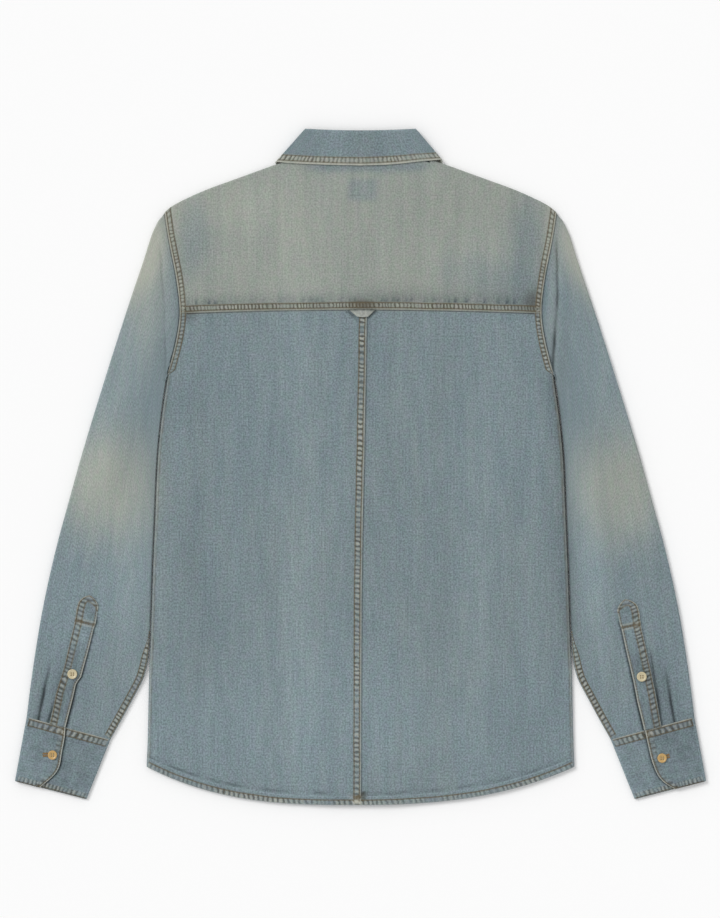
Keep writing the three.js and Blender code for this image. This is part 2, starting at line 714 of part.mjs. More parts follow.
/** A point of a cuff's flat shape: across from outer to inner fold, and down from its seam to its edge. */
function cuffPlan(across, down) {
  const place = (key) =>
    mix(
      mix(CUFF.topOuter[key], CUFF.topInner[key], across),
      mix(CUFF.bottomOuter[key], CUFF.bottomInner[key], across),
      down,
    );
  return { half: place("half"), y: place("y") };
}

/** A cuff: a band laid flat whose outer end laps over its inner end on the upper side. */
function cuff({ side, edge }) {
  const width = Math.hypot(
    CUFF.topOuter.half - CUFF.topInner.half,
    CUFF.topOuter.y - CUFF.topInner.y,
  );
  const flapEdge = curve(edge, "depth", "across");
  const [high, low] = [SLEEVE_END_HEIGHT / 2, CUFF_LOW_HEIGHT / 2];
  const bend = [65, 22, -22, -65].map((degrees) => THREE.MathUtils.degToRad(degrees));
  const hiddenEnd = 0.28;
  const grid = [0, 0.12, 0.3, 0.5, 0.66, 0.76, 0.86, 0.94, 1].map((depth) => {
    const steps = [];
    for (const t of [0, 0.33, 0.66, 1]) {
      steps.push({ across: mix(hiddenEnd, 1 - low / width, t), z: CUFF_LOW_HEIGHT });
    }
    for (const a of bend) {
      steps.push({ across: 1 - (low * (1 - Math.cos(a))) / width, z: low * (1 + Math.sin(a)) });
    }
    for (const t of [1, 0.75, 0.5, 0.25, 0]) {
      steps.push({ across: mix(high / width, 1 - low / width, t), z: 0 });
    }
    for (const a of [...bend].reverse()) {
      steps.push({ across: (high * (1 - Math.cos(a))) / width, z: high * (1 + Math.sin(a)) });
    }
    for (const t of [0, 0.35, 0.7, 1]) {
      steps.push({ across: mix(high / width, flapEdge(depth), t), z: SLEEVE_END_HEIGHT });
    }
    return steps.map((step) => {
      const place = cuffPlan(step.across, depth);
      return at(side, place.half, place.y - (depth === 0 ? SEAM_GAP : 0), step.z);
    });
  });
  return clothWall(grid, CUFF_WALL, { side });
}

// Small pieces

/** The hanger loop under the yoke seam. */
function hangerLoop() {
  const shares = [0, 0.15, 0.3, 0.5, 0.7, 0.85, 1];
  const grid = [0, 1].map((down) =>
    shares.map((share) => {
      const arch = Math.sin(Math.PI * share);
      const x = mix(LOOP.left, LOOP.right, share) + down * LOOP.draw * (0.5 - share);
      const y = LOOP.topY - LOOP.dip * arch - down * LOOP.width * mix(LOOP.endShare, 1, arch);
      return new THREE.Vector3(x, y, bodyTop(x, y) + SEAM_RISE + SEAM_GAP + CLOTH + LOOP.clear * arch);
    }),
  );
  return layer(grid, CLOTH);
}

/** A round shirt button with a raised rim, its flat back on z = 0. */
function buttonGeometry(width, faces = 16) {
  const radius = width / 2;
  const profile = [
    [0, 0],
    [radius * 0.86, 0],
    [radius, BUTTON_THICK * 0.45],
    [radius * 0.92, BUTTON_THICK],
    [radius * 0.74, BUTTON_THICK],
    [radius * 0.6, BUTTON_THICK * 0.72],
    [0, BUTTON_THICK * 0.72],
  ].map(([r, z]) => new THREE.Vector2(r, z));
  return new THREE.LatheGeometry(profile, faces).rotateX(Math.PI / 2);
}

// Assembly

const DENIM = new THREE.MeshStandardMaterial({ color: 0x7c8f98, roughness: 0.9, metalness: 0 });
const FADED_DENIM = new THREE.MeshStandardMaterial({ color: 0x959c95, roughness: 0.9, metalness: 0 });
const BUTTON = new THREE.MeshStandardMaterial({ color: 0xc9b27a, roughness: 0.35, metalness: 0 });

const shirt = new THREE.Group();

/** Adds a piece to the shirt under its name. */
function add(name, geometry, material = DENIM) {
  const mesh = new THREE.Mesh(geometry, material);
  mesh.name = name;
  shirt.add(mesh);
  return mesh;
}

add("back_yoke", yoke(), FADED_DENIM);
add("front_placket", frontPlacket());
add("collar_stand", collarStand());
add("collar_leaf", collarLeaf());
add("hanger_loop", hangerLoop());

for (const [side, name] of [[-1, "left"], [1, "right"]]) {
  add(`back_${name}`, backPanel(side));
  add(`front_${name}`, frontPanel(side));
  add(`sleeve_${name}`, sleeve(side));
  add(`cuff_${name}`, cuff(CUFF_FLAPS.find((flap) => flap.side === side)));
  add(`sleeve_placket_${name}`, sleevePlacket(SLEEVE_PLACKETS.find((row) => row.side === side)).geometry);
}

const frontYs = Array.from({ length: FRONT_BUTTONS }, (_, i) => FIRST_BUTTON_Y - i * BUTTON_PITCH);
for (const [i, y] of frontYs.entries()) {
  const button = add(`front_button_${i + 1}`, buttonGeometry(BUTTON_WIDTH, 12), BUTTON);
  button.position.set(0, y, BUTTON_THICK);
  button.rotation.x = Math.PI;
}
const collarButton = add("collar_button", buttonGeometry(BUTTON_WIDTH, 12), BUTTON);
collarButton.position.set(0, (NECK_FRONT_Y + STAND_FRONT_TOP_Y) / 2, BUTTON_THICK);
collarButton.rotation.x = Math.PI;

for (const { name, x, y, width, on } of SLEEVE_BUTTONS) {
  const rest = on === "cuff" ? SLEEVE_END_HEIGHT : sleeveTop(x, y) + SEAM_GAP + 0.1 + CLOTH;
  add(name, buttonGeometry(width), BUTTON).position.set(x, y, rest + SEAM_GAP);
}

export default shirt;
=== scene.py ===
"""A washed denim shirt laid flat on its front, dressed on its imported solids.

Plan sizes are millimetres: x to the wearer's right, y from hem to collar, z up from the surface. They become
metres when a mesh is written.
"""

import logging
import math
from dataclasses import dataclass, field, replace
from enum import Enum
from functools import partial
from typing import Callable

import bmesh
import bpy
import numpy as np
from mathutils import Matrix, Vector


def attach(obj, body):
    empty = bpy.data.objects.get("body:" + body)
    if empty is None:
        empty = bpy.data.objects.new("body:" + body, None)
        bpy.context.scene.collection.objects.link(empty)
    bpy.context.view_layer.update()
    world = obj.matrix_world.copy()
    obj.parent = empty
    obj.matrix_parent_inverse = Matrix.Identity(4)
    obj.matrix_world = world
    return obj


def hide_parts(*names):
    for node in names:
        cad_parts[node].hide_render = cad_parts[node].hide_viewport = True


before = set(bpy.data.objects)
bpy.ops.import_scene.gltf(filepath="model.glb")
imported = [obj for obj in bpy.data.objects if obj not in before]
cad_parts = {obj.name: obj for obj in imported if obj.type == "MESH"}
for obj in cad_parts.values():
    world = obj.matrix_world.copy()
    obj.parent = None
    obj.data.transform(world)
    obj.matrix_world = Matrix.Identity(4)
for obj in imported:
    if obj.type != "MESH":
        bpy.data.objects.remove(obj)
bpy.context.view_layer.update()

log = logging.getLogger("shirt")

# The floor's name
TABLE = "laundry_table"

Array = np.ndarray
Value = float | np.ndarray
MM = 0.001

# Layers of cloth
CLOTH = 1.2
CUFF_WALL = 1.6
COLLAR_WALL = 1.4
BAND_WALL = 1.5
GAP = 0.3
PLACKET_RISE = GAP + 0.1 + CLOTH
FOLD_HEIGHT = CLOTH + GAP + CLOTH

# Heights over the surface
BODY_HEIGHT = 5.0
CENTRE_HEIGHT = 6.9
SLEEVE_HEIGHT = 6.0
SLEEVE_END_HEIGHT = 5.7
CUFF_LOW_HEIGHT = 3.8
BUTTON_STANDOFF = 2.2
WING_STANDOFF = 1.8

# Seams
ARMHOLE_BAND = 8.0
YOKE_BAND = 8.9
CENTRE_BAND = 9.2
HEM_BAND = 9.5
SLEEVE_BAND = 8.4
SHOULDER_TIP_Y = 293.0
UNDERARM_Y = 105.0
YOKE_FLAP = 35.0
# How far in from its side the folded body reaches its full height
SIDE_ROLL = 4.0

# Sizes in the plan
SHOULDER_HALF = 225.0
SEAM_HALF = 207.5
HEM_HALF = 246.0
FRONT_BAND_HALF = 16.0
SLEEVE_LENGTH = 560.0
STRIP_LENGTH = 152.0
STRIP_BAR = 0.79 * STRIP_LENGTH
CUFF_WIDTH = 99.5
CUFF_DEPTH = 76.0
# A place on a sleeve placket is the strip's own up to this far past its free edge
STRIP_EDGE = 0.05
# A cuff's rows lie closer at its sewn edges: shares of the rows, and of the depth
CUFF_ROWS = ((0, 0.26, 0.74, 1), (0, 0.15, 0.9, 1))

# Millimetres of cloth in one unit of its own coordinates
UV_UNIT = 100
# How far the wash and the painted shade can change the cloth's lightness, from 1 less half of this to 1 plus
# half of it
PALE_RANGE = 1.6


class Side(Enum):
    """Which side of the shirt, as the sign of its x."""

    LEFT = -1
    RIGHT = 1

    @property
    def word(self) -> str:
        """The side's name in a piece's name."""
        return self.name.lower()


class Face(Enum):
    """Which way the outer face of a piece looks."""

    AS_MADE = 0
    TURNED = 1

    @classmethod
    def turned_if(cls, turned: bool) -> "Face":
        """The turned face where asked, or else the face as made."""
        return cls.TURNED if turned else cls.AS_MADE


def mix(a: Value, b: Value, t: Value) -> Value:
    """The value a share t of the way from a to b."""
    return a + (b - a) * t


def ramp(a: float, b: float, value: Value) -> Array:
    """A smooth step from 0 at a to 1 at b."""
    t = np.clip((np.asarray(value, float) - a) / (b - a), 0.0, 1.0)
    return t * t * (3 - 2 * t)


def bell(value: Value, width: Value) -> Array:
    """A smooth bell of the given width, 1 where the value is 0."""
    return np.exp(-((value / width) ** 2))


def rolled(distance: Array, radius: float) -> Array:
    """How high a rolled edge stands at a distance in from it, from 0 to 1 at its radius."""
    return np.sqrt(1 - (1 - np.clip(distance / radius, 0, 1)) ** 2)


def beside_sleeve(side: "Side", y: Array) -> Array:
    """How much painted shadow darkens the cloth beside the gap between the body and a sleeve, at each height.
    """
    return ramp(-235, -200, y) * ((0.8 + 0.4 * ramp(-60, 60, y)) if side is Side.RIGHT else 0.3)


class Curve:
    """A smooth curve through a short table of (place, value) rows, level past its ends."""

    def __init__(self, *rows: tuple[float, float]) -> None:
        """Keeps the rows in order and works out a slope at each."""
        table = np.array(sorted(rows), float)
        self.place, self.value = table[:, 0], table[:, 1]
        before = np.maximum(np.arange(len(table)) - 1, 0)
        after = np.minimum(np.arange(len(table)) + 1, len(table) - 1)
        self.slope = (self.value[after] - self.value[before]) / (self.place[after] - self.place[before])

    def __call__(self, place: Value) -> Array:
        """The curve's value at each place.

        Args:
            place: where the curve is read.

        Returns:
            The values there.
        """
        at = np.clip(np.asarray(place, float), self.place[0], self.place[-1])
        i = np.clip(np.searchsorted(self.place, at, side="right") - 1, 0, len(self.place) - 2)
        span = self.place[i + 1] - self.place[i]
        t = (at - self.place[i]) / span
        rise = self.value[i + 1] - self.value[i]
        a = self.slope[i] * span - rise
        b = rise - self.slope[i + 1] * span
        return self.value[i] + rise * t + t * (1 - t) * (a * (1 - t) + b * t)


class Noise:
    """Smooth noise from -1 to 1 on a square lattice, the same each time."""

    SIZE = 128

    def __init__(self, seed: int) -> None:
        """Fills the lattice for a seed."""
        self.lattice = np.random.default_rng(seed).uniform(-1, 1, (self.SIZE, self.SIZE))

    def __call__(self, x: Value, y: Value = 0.0) -> Array:
        """The noise at places given in lattice steps.

        Args:
            x, y: places in lattice steps.

        Returns:
            The noise there.
        """
        x, y = np.broadcast_arrays(np.asarray(x, float), np.asarray(y, float))
        i, j = np.floor(x).astype(int), np.floor(y).astype(int)
        fx, fy = x - i, y - j
        fx, fy = fx * fx * (3 - 2 * fx), fy * fy * (3 - 2 * fy)
        pick = lambda a, b: self.lattice[a % self.SIZE, b % self.SIZE]
        low = mix(pick(i, j), pick(i + 1, j), fx)
        high = mix(pick(i, j + 1), pick(i + 1, j + 1), fx)
        return mix(low, high, fy)


BROAD = Noise(11)
FINE = Noise(23)
ROPE = Noise(37)
WEAR = Noise(51)


@dataclass(frozen=True)
class Crease:
    """A soft trough or ridge laid from one point to another."""

    x0: float
    y0: float
    x1: float
    y1: float
    width: float
    rise: float
    # shade and line: how dark and how wide the painted shadow along the crease's bottom is
    shade: float = 0.0
    line: float = 1.9
    wander: float = 0.5

    def felt(self, x: Array, y: Array, width: float) -> Array:
        """How much of the crease each point feels, for a given width, uneven along its length.

        Args:
            x, y: places in the plan.
            width: how far to each side the crease is felt.

        Returns:
            A share from 0 to a little over 1.
        """
        dx, dy = self.x1 - self.x0, self.y1 - self.y0
        length = math.hypot(dx, dy)
        along = ((x - self.x0) * dx + (y - self.y0) * dy) / length
        wander = self.width * self.wander * BROAD(along / (self.width * 3.0), self.x0 * 0.1)
        beside = ((x - self.x0) * dy - (y - self.y0) * dx) / length + wander
        ends = ramp(-0.12 * length, 0.22 * length, along) * ramp(1.12 * length, 0.78 * length, along)
        uneven = 0.8 + 0.35 * BROAD(along / 19.0, self.y0 * 0.07)
        return ends * uneven * bell(beside, width)

    def at(self, x: Array, y: Array) -> Array:
        """What the crease adds to the height at each point."""
        return self.rise * self.felt(x, y, self.width)

    def shadow(self, x: Array, y: Array) -> Array:
        """How much painted shadow darkens the crease's bottom at each point."""
        return self.shade * self.felt(x, y, self.line) if self.shade else np.zeros_like(x)


BODY_CREASES = (
    # The first two run beside the hanger loop's slanting sides: shallow troughs carrying the loop's painted
    # shadow
    Crease(-19.5, 182.5, -4.5, 170.5, 1.6, -0.4, 0.8, 1.5, 0.1),
    Crease(21.5, 183, 8.2, 170.5, 1.6, -0.4, 0.8, 1.5, 0.1),
    Crease(150, 120, 172, -150, 30, 0.4),
    Crease(-120, 60, -160, -230, 34, 0.4),
    Crease(88, -60, 96, -330, 26, -0.35),
    Crease(-196, 90, -204, -60, 14, -0.35),
    Crease(60, 150, 70, 10, 16, 0.3),
    Crease(-60, 160, -48, 40, 14, -0.25),
    Crease(196, 120, 150, 60, 9, -0.35),
    Crease(-200, 128, -150, 70, 9, -0.3),
    Crease(205, -60, 196, -210, 12, 0.35),
    Crease(-90, -250, -84, -372, 10, -0.3),
    Crease(140, -270, 150, -368, 10, 0.3),
    Crease(30, -300, 34, -380, 8, -0.25),
    Crease(-150, 300, -60, 230, 16, 0.3),
    Crease(110, 310, 60, 250, 15, -0.25),
)

LEFT_SLEEVE_CREASES = (
    Crease(-230.5, 252, -226, 190, 4, -0.8, 0.3, 1.3, 0.12),
    Crease(-226, 196, -223.8, 104, 4, -0.8, 0.28, 1.3, 0.12),
    Crease(-262, 110, -296, -70, 20, 0.5),
    Crease(-357, -226, -373, -306, 4, -1.4, 1.05, 1.8, 0.1),
    Crease(-364, -240, -375, -288, 4, 0.6),
    Crease(-350, -268, -363, -304, 2.6, -0.8, 0.9, 1.6, 0.1),
    Crease(-246, 30, -318, 44, 9, -0.35),
    Crease(-262, -40, -344, -10, 10, -0.4),
    Crease(-262, -120, -330, -86, 10, 0.35),
    Crease(-256, -200, -320, -160, 9, -0.4),
    Crease(-300, -304, -296, -250, 5, -0.45),
    Crease(-238, 200, -236, 120, 8, 0.4),
)

RIGHT_SLEEVE_CREASES = (
    Crease(225.2, 260, 226.2, 184, 3.4, -1.3, 0.7, 1.4, 0.1),
    Crease(226.4, 202, 219.8, 102, 3.4, -1.5, 0.8, 1.7, 0.1),
    Crease(234, 240, 232, 120, 6, 0.7),
    Crease(275, 90, 300, -60, 20, 0.5),
    Crease(350, -232, 363, -306, 4, -1.4, 0.95, 1.5, 0.1),
    Crease(357, -246, 368, -288, 4, 0.6),
    # This one runs along the placket's outer edge and paints its shadow on the sleeve
    Crease(332.5, -212, 348.6, -312, 3, -0.7, 0.9, 1.5, 0.08),
    Crease(250, 20, 318, 36, 9, -0.35),
    Crease(262, -30, 344, -4, 10, -0.4),
    Crease(258, -130, 332, -96, 10, 0.35),
    Crease(258, -206, 318, -170, 9, -0.4),
    Crease(302, -304, 296, -250, 5, -0.45),
)

SLEEVE_CREASES = {Side.LEFT: LEFT_SLEEVE_CREASES, Side.RIGHT: RIGHT_SLEEVE_CREASES}


@dataclass(frozen=True)
class SeamLook:
    """How a washed seam looks across and along: its rows, its puckers and its rubbed edge.

    Attributes:
        rows: distances of the rows of stitches from the folded edge.
        reach: from where to where the puckers run, from that edge.
        period: distance from pucker to pucker.
        slant: how far the puckers lean, in periods across their reach.
        depth: how high they stand.
        light, dark: how rubbed the ridges and how dark the valleys are.
        rim, rim_width: how rubbed the folded edge is, and how far in.
        gutter: how dark the shadow just outside the edge is.
        seed: where in the noise this seam starts.
    """

    rows: tuple[float, ...]
    reach: tuple[float, float]
    period: float = 4.6
    slant: float = 0.15
    depth: float = 0.22
    light: float = 0.62
    dark: float = 0.36
    rim: float = 0.8
    rim_width: float = 0.6
    gutter: float = 0.0
    seed: float = 0.0

    def groove(self, along: Array, off: Array) -> Array:
        """How much of a row's groove each point feels; the rows wander a little."""
        wander = 0.3 * ROPE(along / 26 + self.seed, 6)
        return sum(bell(off - row - wander, 0.74) for row in self.rows) + np.zeros_like(off)

    def puckers(self, along: Array, off: Array) -> tuple[Array, Array]:
        """The wave of the puckers from -1 to 1, and how strong it is.

        Args:
            along: distance along the seam.
            off: distance in from its folded edge.

        Returns:
            The wave and its strength.
        """
        low, high = self.reach
        share = (off - low) / (high - low)
        drift = 0.5 * ROPE(along / (3.3 * self.period) + self.seed, 4)
        phase = along / self.period + self.slant * share + drift
        phase = phase + 0.14 * ROPE(along / 3.1 + self.seed, off / 2.6)
        inside = ramp(-0.12, 0.14, share) * ramp(1.12, 0.86, share)
        swell = ROPE(along / (1.9 * self.period) + 3 * self.seed, 2 + off / 14)
        strength = np.clip(0.72 + 0.55 * swell, 0.1, 1.2)
        return np.cos(2 * math.pi * phase), inside * strength * (1 + 0.3 * BROAD(along / 34, self.seed))

    def at(self, along: Array, off: Array) -> tuple[Array, Array, Array, Array, Array]:
        """The seam's rise, and how much paler, more khaki, rubbed and brown it is, at each point.

        Args:
            along: distance along the seam.
            off: distance in from its folded edge; less than nothing lies outside.

        Returns:
            The rise in millimetres, then the four shares.
        """
        wave, strength = self.puckers(along, off)
        groove = self.groove(along, off)
        ridge, valley = np.clip(wave + 0.25, 0, 1) ** 0.8, np.clip((-wave - 0.15) / 0.85, 0, 1)
        fine = ROPE(along / 1.7 + 5, off / 1.5 + self.seed)
        rise = self.depth * strength * wave - 0.2 * groove
        # Here the rows' grooves are darkened: partly for the thread's brown, partly as painted shade in the
        # groove
        pale = -self.dark * strength * valley - 0.3 * groove * (1 + 0.5 * valley) + 0.06 * fine * strength
        pale = pale - self.gutter * bell(off + 0.75, 0.65)
        pale = pale - 0.1 * np.clip(BROAD(along / 23 + 31, self.seed) + 0.3, 0, 1) * (off > 0)
        khaki = 0.5 * groove + 0.3 * strength * (0.5 + 0.5 * wave)
        worn = self.light * strength * ridge * (0.8 + 0.3 * fine) * (1 - 0.7 * groove)
        edge = bell(off - 0.75 * self.rim_width, self.rim_width)
        edge = edge * (0.84 + 0.25 * ROPE(along / 5 + self.seed, 1))
        worn = np.where(off < -0.25, 0, worn + self.rim * edge)
        brown = groove * (0.62 + 0.2 * ROPE(along / 4 + self.seed, 9)) + 0.48 * valley * strength
        return rise, pale, khaki, worn, brown


class Plan:
    """The laid shirt's outlines and heights, in millimetres."""

    body_side = Curve((105, 222), (55, 229), (8, 233.5), (-53, 236), (-112, 238.5), (-189, 241),
                      (-245, 243), (-314, 244.5), (-350, 246))
    armhole = Curve((293, 225), (270, 221.5), (248, 217.5), (220, 212), (195, 208.5), (178, 207.5),
                    (160, 209), (137, 213.5), (105, 222))
    shoulder_y = Curve((0, 382.2), (97, 347.6), (146, 330), (177, 318.6), (203, 307), (216, 300), (225, 293))
    sleeve_outer = Curve((293, 226), (284, 231.5), (272.5, 237.5), (261, 241.8), (238, 249), (192, 264.5),
                         (146, 279.5), (100, 294), (54, 308.3), (8, 322), (-38, 334.7), (-84, 347.3),
                         (-130, 358.3), (-176, 367.5), (-222, 375), (-262, 380.5), (-287, 383.5))
    sleeve_inner = Curve((105, 222.7), (94, 224.6), (80, 226.6), (55, 229.8), (8, 234.1), (-53, 236.7),
                         (-112, 239.2), (-189, 241.8), (-218, 243.6), (-233, 246.5), (-245, 250.4),
                         (-268, 262.5), (-291, 275), (-313, 287.5))
    centre_seam_x = Curve((182, 7.4), (31, 4.6), (-60, 2.6), (-153, 1.3), (-390, 0.4))
    sleeve_ends = (-287.0, -313.0)
    hem_low = (-14.0, -388.0)
    hem_corner = (HEM_HALF, -344.0)

    @staticmethod
    def body_edge(y: Array) -> Array:
        """Half width of the body: the armhole above the underarm, the side seam below."""
        return np.where(y > UNDERARM_Y, Plan.armhole(y), Plan.body_side(y))

    @staticmethod
    def yoke_seam_y(x: Array) -> Array:
        """Height of the yoke seam's folded edge."""
        return 180.8 - 4.3 * (x / (SEAM_HALF - 0.5)) ** 2

    @staticmethod
    def hem_y(x: Array) -> Array:
        """Height of the hem's folded edge.

        Args:
            x: places across the shirt.

        Returns:
            The heights in the plan.
        """
        low_x, low_y = Plan.hem_low
        reach = np.sign(x - low_x) * Plan.hem_corner[0] - low_x
        reach = np.where(reach == 0, 1.0, reach)
        return low_y + (Plan.hem_corner[1] - low_y) * np.abs((x - low_x) / reach) ** 2.7

    @staticmethod
    def wing_standoff(x: Array, y: Array) -> Array:
        """How far a front lies over the surface where a collar point is under it."""
        reach = np.hypot((np.abs(x) - 62) / 46, (y - 310) / 61)
        return WING_STANDOFF * (1 - ramp(1.15, 1.6, reach))

    @staticmethod
    def body_top(x: Array, y: Array) -> Array:
        """Height of the back's outer face, with its creases.

        Args:
            x, y: places in the plan.

        Returns:
            The heights over the surface.
        """
        crown = (1 - ramp(22, 78, np.abs(x))) * (1 - ramp(318, 350, y))
        level = BODY_HEIGHT + (CENTRE_HEIGHT - BODY_HEIGHT) * crown
        for crease in BODY_CREASES:
            level = level + crease.at(x, y)
        calm = 1 - ramp(300, 345, y)
        broad = 0.26 * BROAD(x / 46, y / 74) + 0.12 * BROAD(x / 21 + 9, y / 37)
        return level + broad * calm

    @staticmethod
    def sleeve_top(side: Side, x: Array, y: Array) -> Array:
        """Height of a sleeve's outer face, with its creases.

        Args:
            side: which sleeve.
            x, y: places in the plan.

        Returns:
            The heights over the surface.
        """
        half = np.abs(x)
        swell = ramp(SHOULDER_TIP_Y, 60, y) * (1 - ramp(-150, Plan.sleeve_ends[0], y))
        plain = mix(BODY_HEIGHT, SLEEVE_HEIGHT, swell)
        at_cuff = mix(CUFF_LOW_HEIGHT, SLEEVE_END_HEIGHT, ramp(305, 345, half + (y + 300) * 0.25))
        level = mix(plain, at_cuff, ramp(-170, -300, y))
        for crease in SLEEVE_CREASES[side]:
            level = level + crease.at(x, y)
        calm = ramp(-296, -255, y)
        broad = 0.3 * BROAD(x / 24 + 40, y / 40) + 0.14 * BROAD(x / 11 + 3, y / 17)
        return level + broad * calm

    @staticmethod
    def sleeve_plan(across: Array, down: Array) -> tuple[Array, Array, Array]:
        """A sleeve's flat shape: half width and y at a share across and down, and the width there.

        Args:
            across: share from the outer fold to the inner one.
            down: share from the armhole to the cuff.

        Returns:
            The half width, the y and the width.
        """
        outer_y = mix(SHOULDER_TIP_Y, Plan.sleeve_ends[0], down)
        inner_y = mix(UNDERARM_Y, Plan.sleeve_ends[1], down)
        outer, inner = Plan.sleeve_outer(outer_y), Plan.sleeve_inner(inner_y)
        straight = mix(Plan.armhole(SHOULDER_TIP_Y), Plan.armhole(UNDERARM_Y), across)
        curved = Plan.armhole(mix(SHOULDER_TIP_Y, UNDERARM_Y, across)) - straight
        reach = mix(0.3, 0.07, across)
        t = np.clip(down / reach, 0, 1)
        fade = 1 - t * t * (3 - 2 * t)
        return mix(outer, inner, across) + curved * fade, mix(outer_y, inner_y, across), np.hypot(
            outer - inner, outer_y - inner_y)


@dataclass(frozen=True)
class Fade:
    """A patch of the wash or of painted shadow, khaki, pale, dark or brown, flat in its middle and soft at
    its edge.
    """

    x: float
    y: float
    wide: float
    tall: float
    khaki: float
    pale: float
    brown: float = 0.0
    worn: float = 0.0
    lean: float = 0.0

    def at(self, x: Array, y: Array) -> Array:
        """How strongly the patch is felt at each point."""
        beside = (x - self.x - self.lean * (y - self.y)) / self.wide
        return np.exp(-((beside ** 2 + ((y - self.y) / self.tall) ** 2) ** 1.35))


FADES = (
    Fade(0, 0, 600, 700, 0.07, 0),
    Fade(-258, 243, 30, 62, 0.95, 0.14, worn=0.36, lean=0.36),
    Fade(258, 243, 28, 56, 0.95, 0.06, worn=0.3, lean=-0.36),
    Fade(-286, 100, 36, 105, 0.14, 0.2, lean=0.33),
    Fade(-236, 206, 22, 70, 0.4, 0.08, lean=0.15),
    Fade(276, 112, 30, 90, 0.05, 0.08, lean=-0.3),
    Fade(-290, -22, 58, 64, 0.82, 0.08),
    Fade(-318, -10, 26, 46, 0.1, 0.05, lean=0.3),
    Fade(300, -24, 54, 66, 0.82, 0.02),
    Fade(-262, -130, 30, 90, 0, 0.16),
    Fade(-320, -150, 44, 110, -0.05, 0.08),
    Fade(266, -110, 17, 130, 0.03, 0.2, lean=-0.1),
    Fade(-72, -120, 26, 330, 0.05, 0.08),
    Fade(134, -90, 20, 260, 0.02, 0.06),
    Fade(-184, -40, 22, 220, 0, -0.05),
    Fade(92, -60, 22, 240, 0, -0.05),
    Fade(222, -60, 18, 300, 0, -0.07),
    Fade(-40, -280, 150, 90, -0.02, 0.12),
    Fade(-190, -310, 70, 60, -0.1, 0.05),
    Fade(200, -315, 70, 60, -0.12, 0.0),
    Fade(-104, 250, 60, 90, 0.03, 0.04),
    Fade(-150, 300, 80, 34, 0.08, 0.06),
    Fade(140, 305, 90, 34, 0.02, -0.02),
    Fade(176, 200, 44, 26, -0.32, -0.06),
    Fade(-193, 262, 20, 46, -0.4, -0.03),
    Fade(190, 254, 22, 58, -0.5, -0.07),
    Fade(132, 224, 48, 22, -0.28, -0.03),
    Fade(220, 200, 9, 66, 0.26, 0.13),
    # Painted shadow, dark and brownish, under the yoke seam's edge above the hanger loop
    Fade(2, 187, 15, 5, 0, -0.34, 0.45),
    Fade(-197, 175, 9, 9, 0, -0.26, 0.1),
    Fade(198, 190, 9, 15, 0, -0.32, 0.15),
    Fade(-3.8, -382.6, 4.5, 4.2, 0.7, 0.14, 0, 0.6),
    Fade(-3.8, -378.6, 4.5, 2.0, 0.3, -0.2, 1.3),
    Fade(3.0, -377.5, 4.0, 5.5, 0, -0.6, 0.3),
    Fade(-12, -378, 3.5, 5, 0.2, 0.12),
    Fade(-346, -262, 20, 44, -0.1, -0.14, lean=0.2),
    Fade(344, -262, 22, 46, -0.1, -0.2, lean=-0.2),
    Fade(386, -320, 22, 44, 0, -0.12),
)


def wash(x: Array, y: Array) -> tuple[Array, Array, Array, Array]:
    """How khaki, how much paler, how brown and how worn the cloth is at each point, from its wash and one
    painted shadow.

    Args:
        x, y: places in the plan.

    Returns:
        The khaki, the paler, the brown and the worn shares, in that order.
    """
    on_yoke = ramp(-2.4, 1.1, y - Plan.yoke_seam_y(x)) * ramp(1, -1, np.abs(x) - Plan.armhole(y))
    khaki = 0.78 * on_yoke + np.zeros_like(x)
    pale = np.zeros_like(x)
    brown = np.zeros_like(x)
    worn = np.zeros_like(x)
    for fade in FADES:
        felt = fade.at(x, y)
        khaki = khaki + fade.khaki * felt
        pale = pale + fade.pale * felt
        brown = brown + fade.brown * felt
        worn = worn + fade.worn * felt
    khaki = khaki + 0.04 * WEAR(x / 60, y / 90) + 0.05 * WEAR(x / 9 + 7, y / 60)
    pale = pale + 0.03 * WEAR(x / 11 + 50, y / 150) + 0.022 * WEAR(x / 4.5, y / 70 + 20)
    pale = pale + 0.025 * WEAR(x / 40 + 9, y / 60 + 3)
    return khaki, pale, brown, worn


@dataclass
class Laid:
    """Points of a cloth surface in millimetres, its own coordinates, its wash and its painted shade.

    Attributes:
        x, y, z: the places.
        across, along: the cloth's own coordinates, along its weft and its warp.
        khaki, pale: the wash, each 0 to 1; pale also carries painted shade and shadow.
        worn: 1 where an edge or a ridge is rubbed light.
        brown: 1 where thread or its rust colours the cloth, and in one painted shadow.
    """

    x: Array
    y: Array
    z: Array
    across: Array
    along: Array
    khaki: Array
    pale: Array
    worn: Array
    brown: Array


def laid(x: Value, y: Value, z: Value, across: Value | None = None, along: Value | None = None,
         pale: Value = 0.0, khaki: Value = 0.0, worn: Value = 0.0, brown: Value = 0.0) -> Laid:
    """A surface with the shirt's own wash and painted shade, made paler, more khaki or more worn where asked.

    Args:
        x, y, z: the places.
        across, along: the cloth's own coordinates, or none to use x and y.
        pale, khaki, worn, brown: what is added to the shirt's wash; pale also carries painted shade and
            shadow.

    Returns:
        The surface.
    """
    x, y, z = np.broadcast_arrays(x, y, z)
    base_khaki, base_pale, base_brown, base_worn = wash(x, y)
    full = np.zeros_like(x)
    return Laid(
        x, y, z,
        x if across is None else across + full,
        y if along is None else along + full,
        np.clip(base_khaki + khaki, 0, 1) + full,
        np.clip(0.5 + (base_pale + pale) / PALE_RANGE, 0, 1) + full,
        np.clip(base_worn + worn, 0, 1) + full,
        np.clip(base_brown + brown, 0, 1) + full,
    )


def placed(name: str, data: bpy.types.ID) -> bpy.types.Object:
    """Puts a mesh, a camera or a light into the scene as an object.

    Args:
        name: the object's name.
        data: what it shows.

    Returns:
        The object.
    """
    piece = bpy.data.objects.new(name, data)
    bpy.context.scene.collection.objects.link(piece)
    return piece


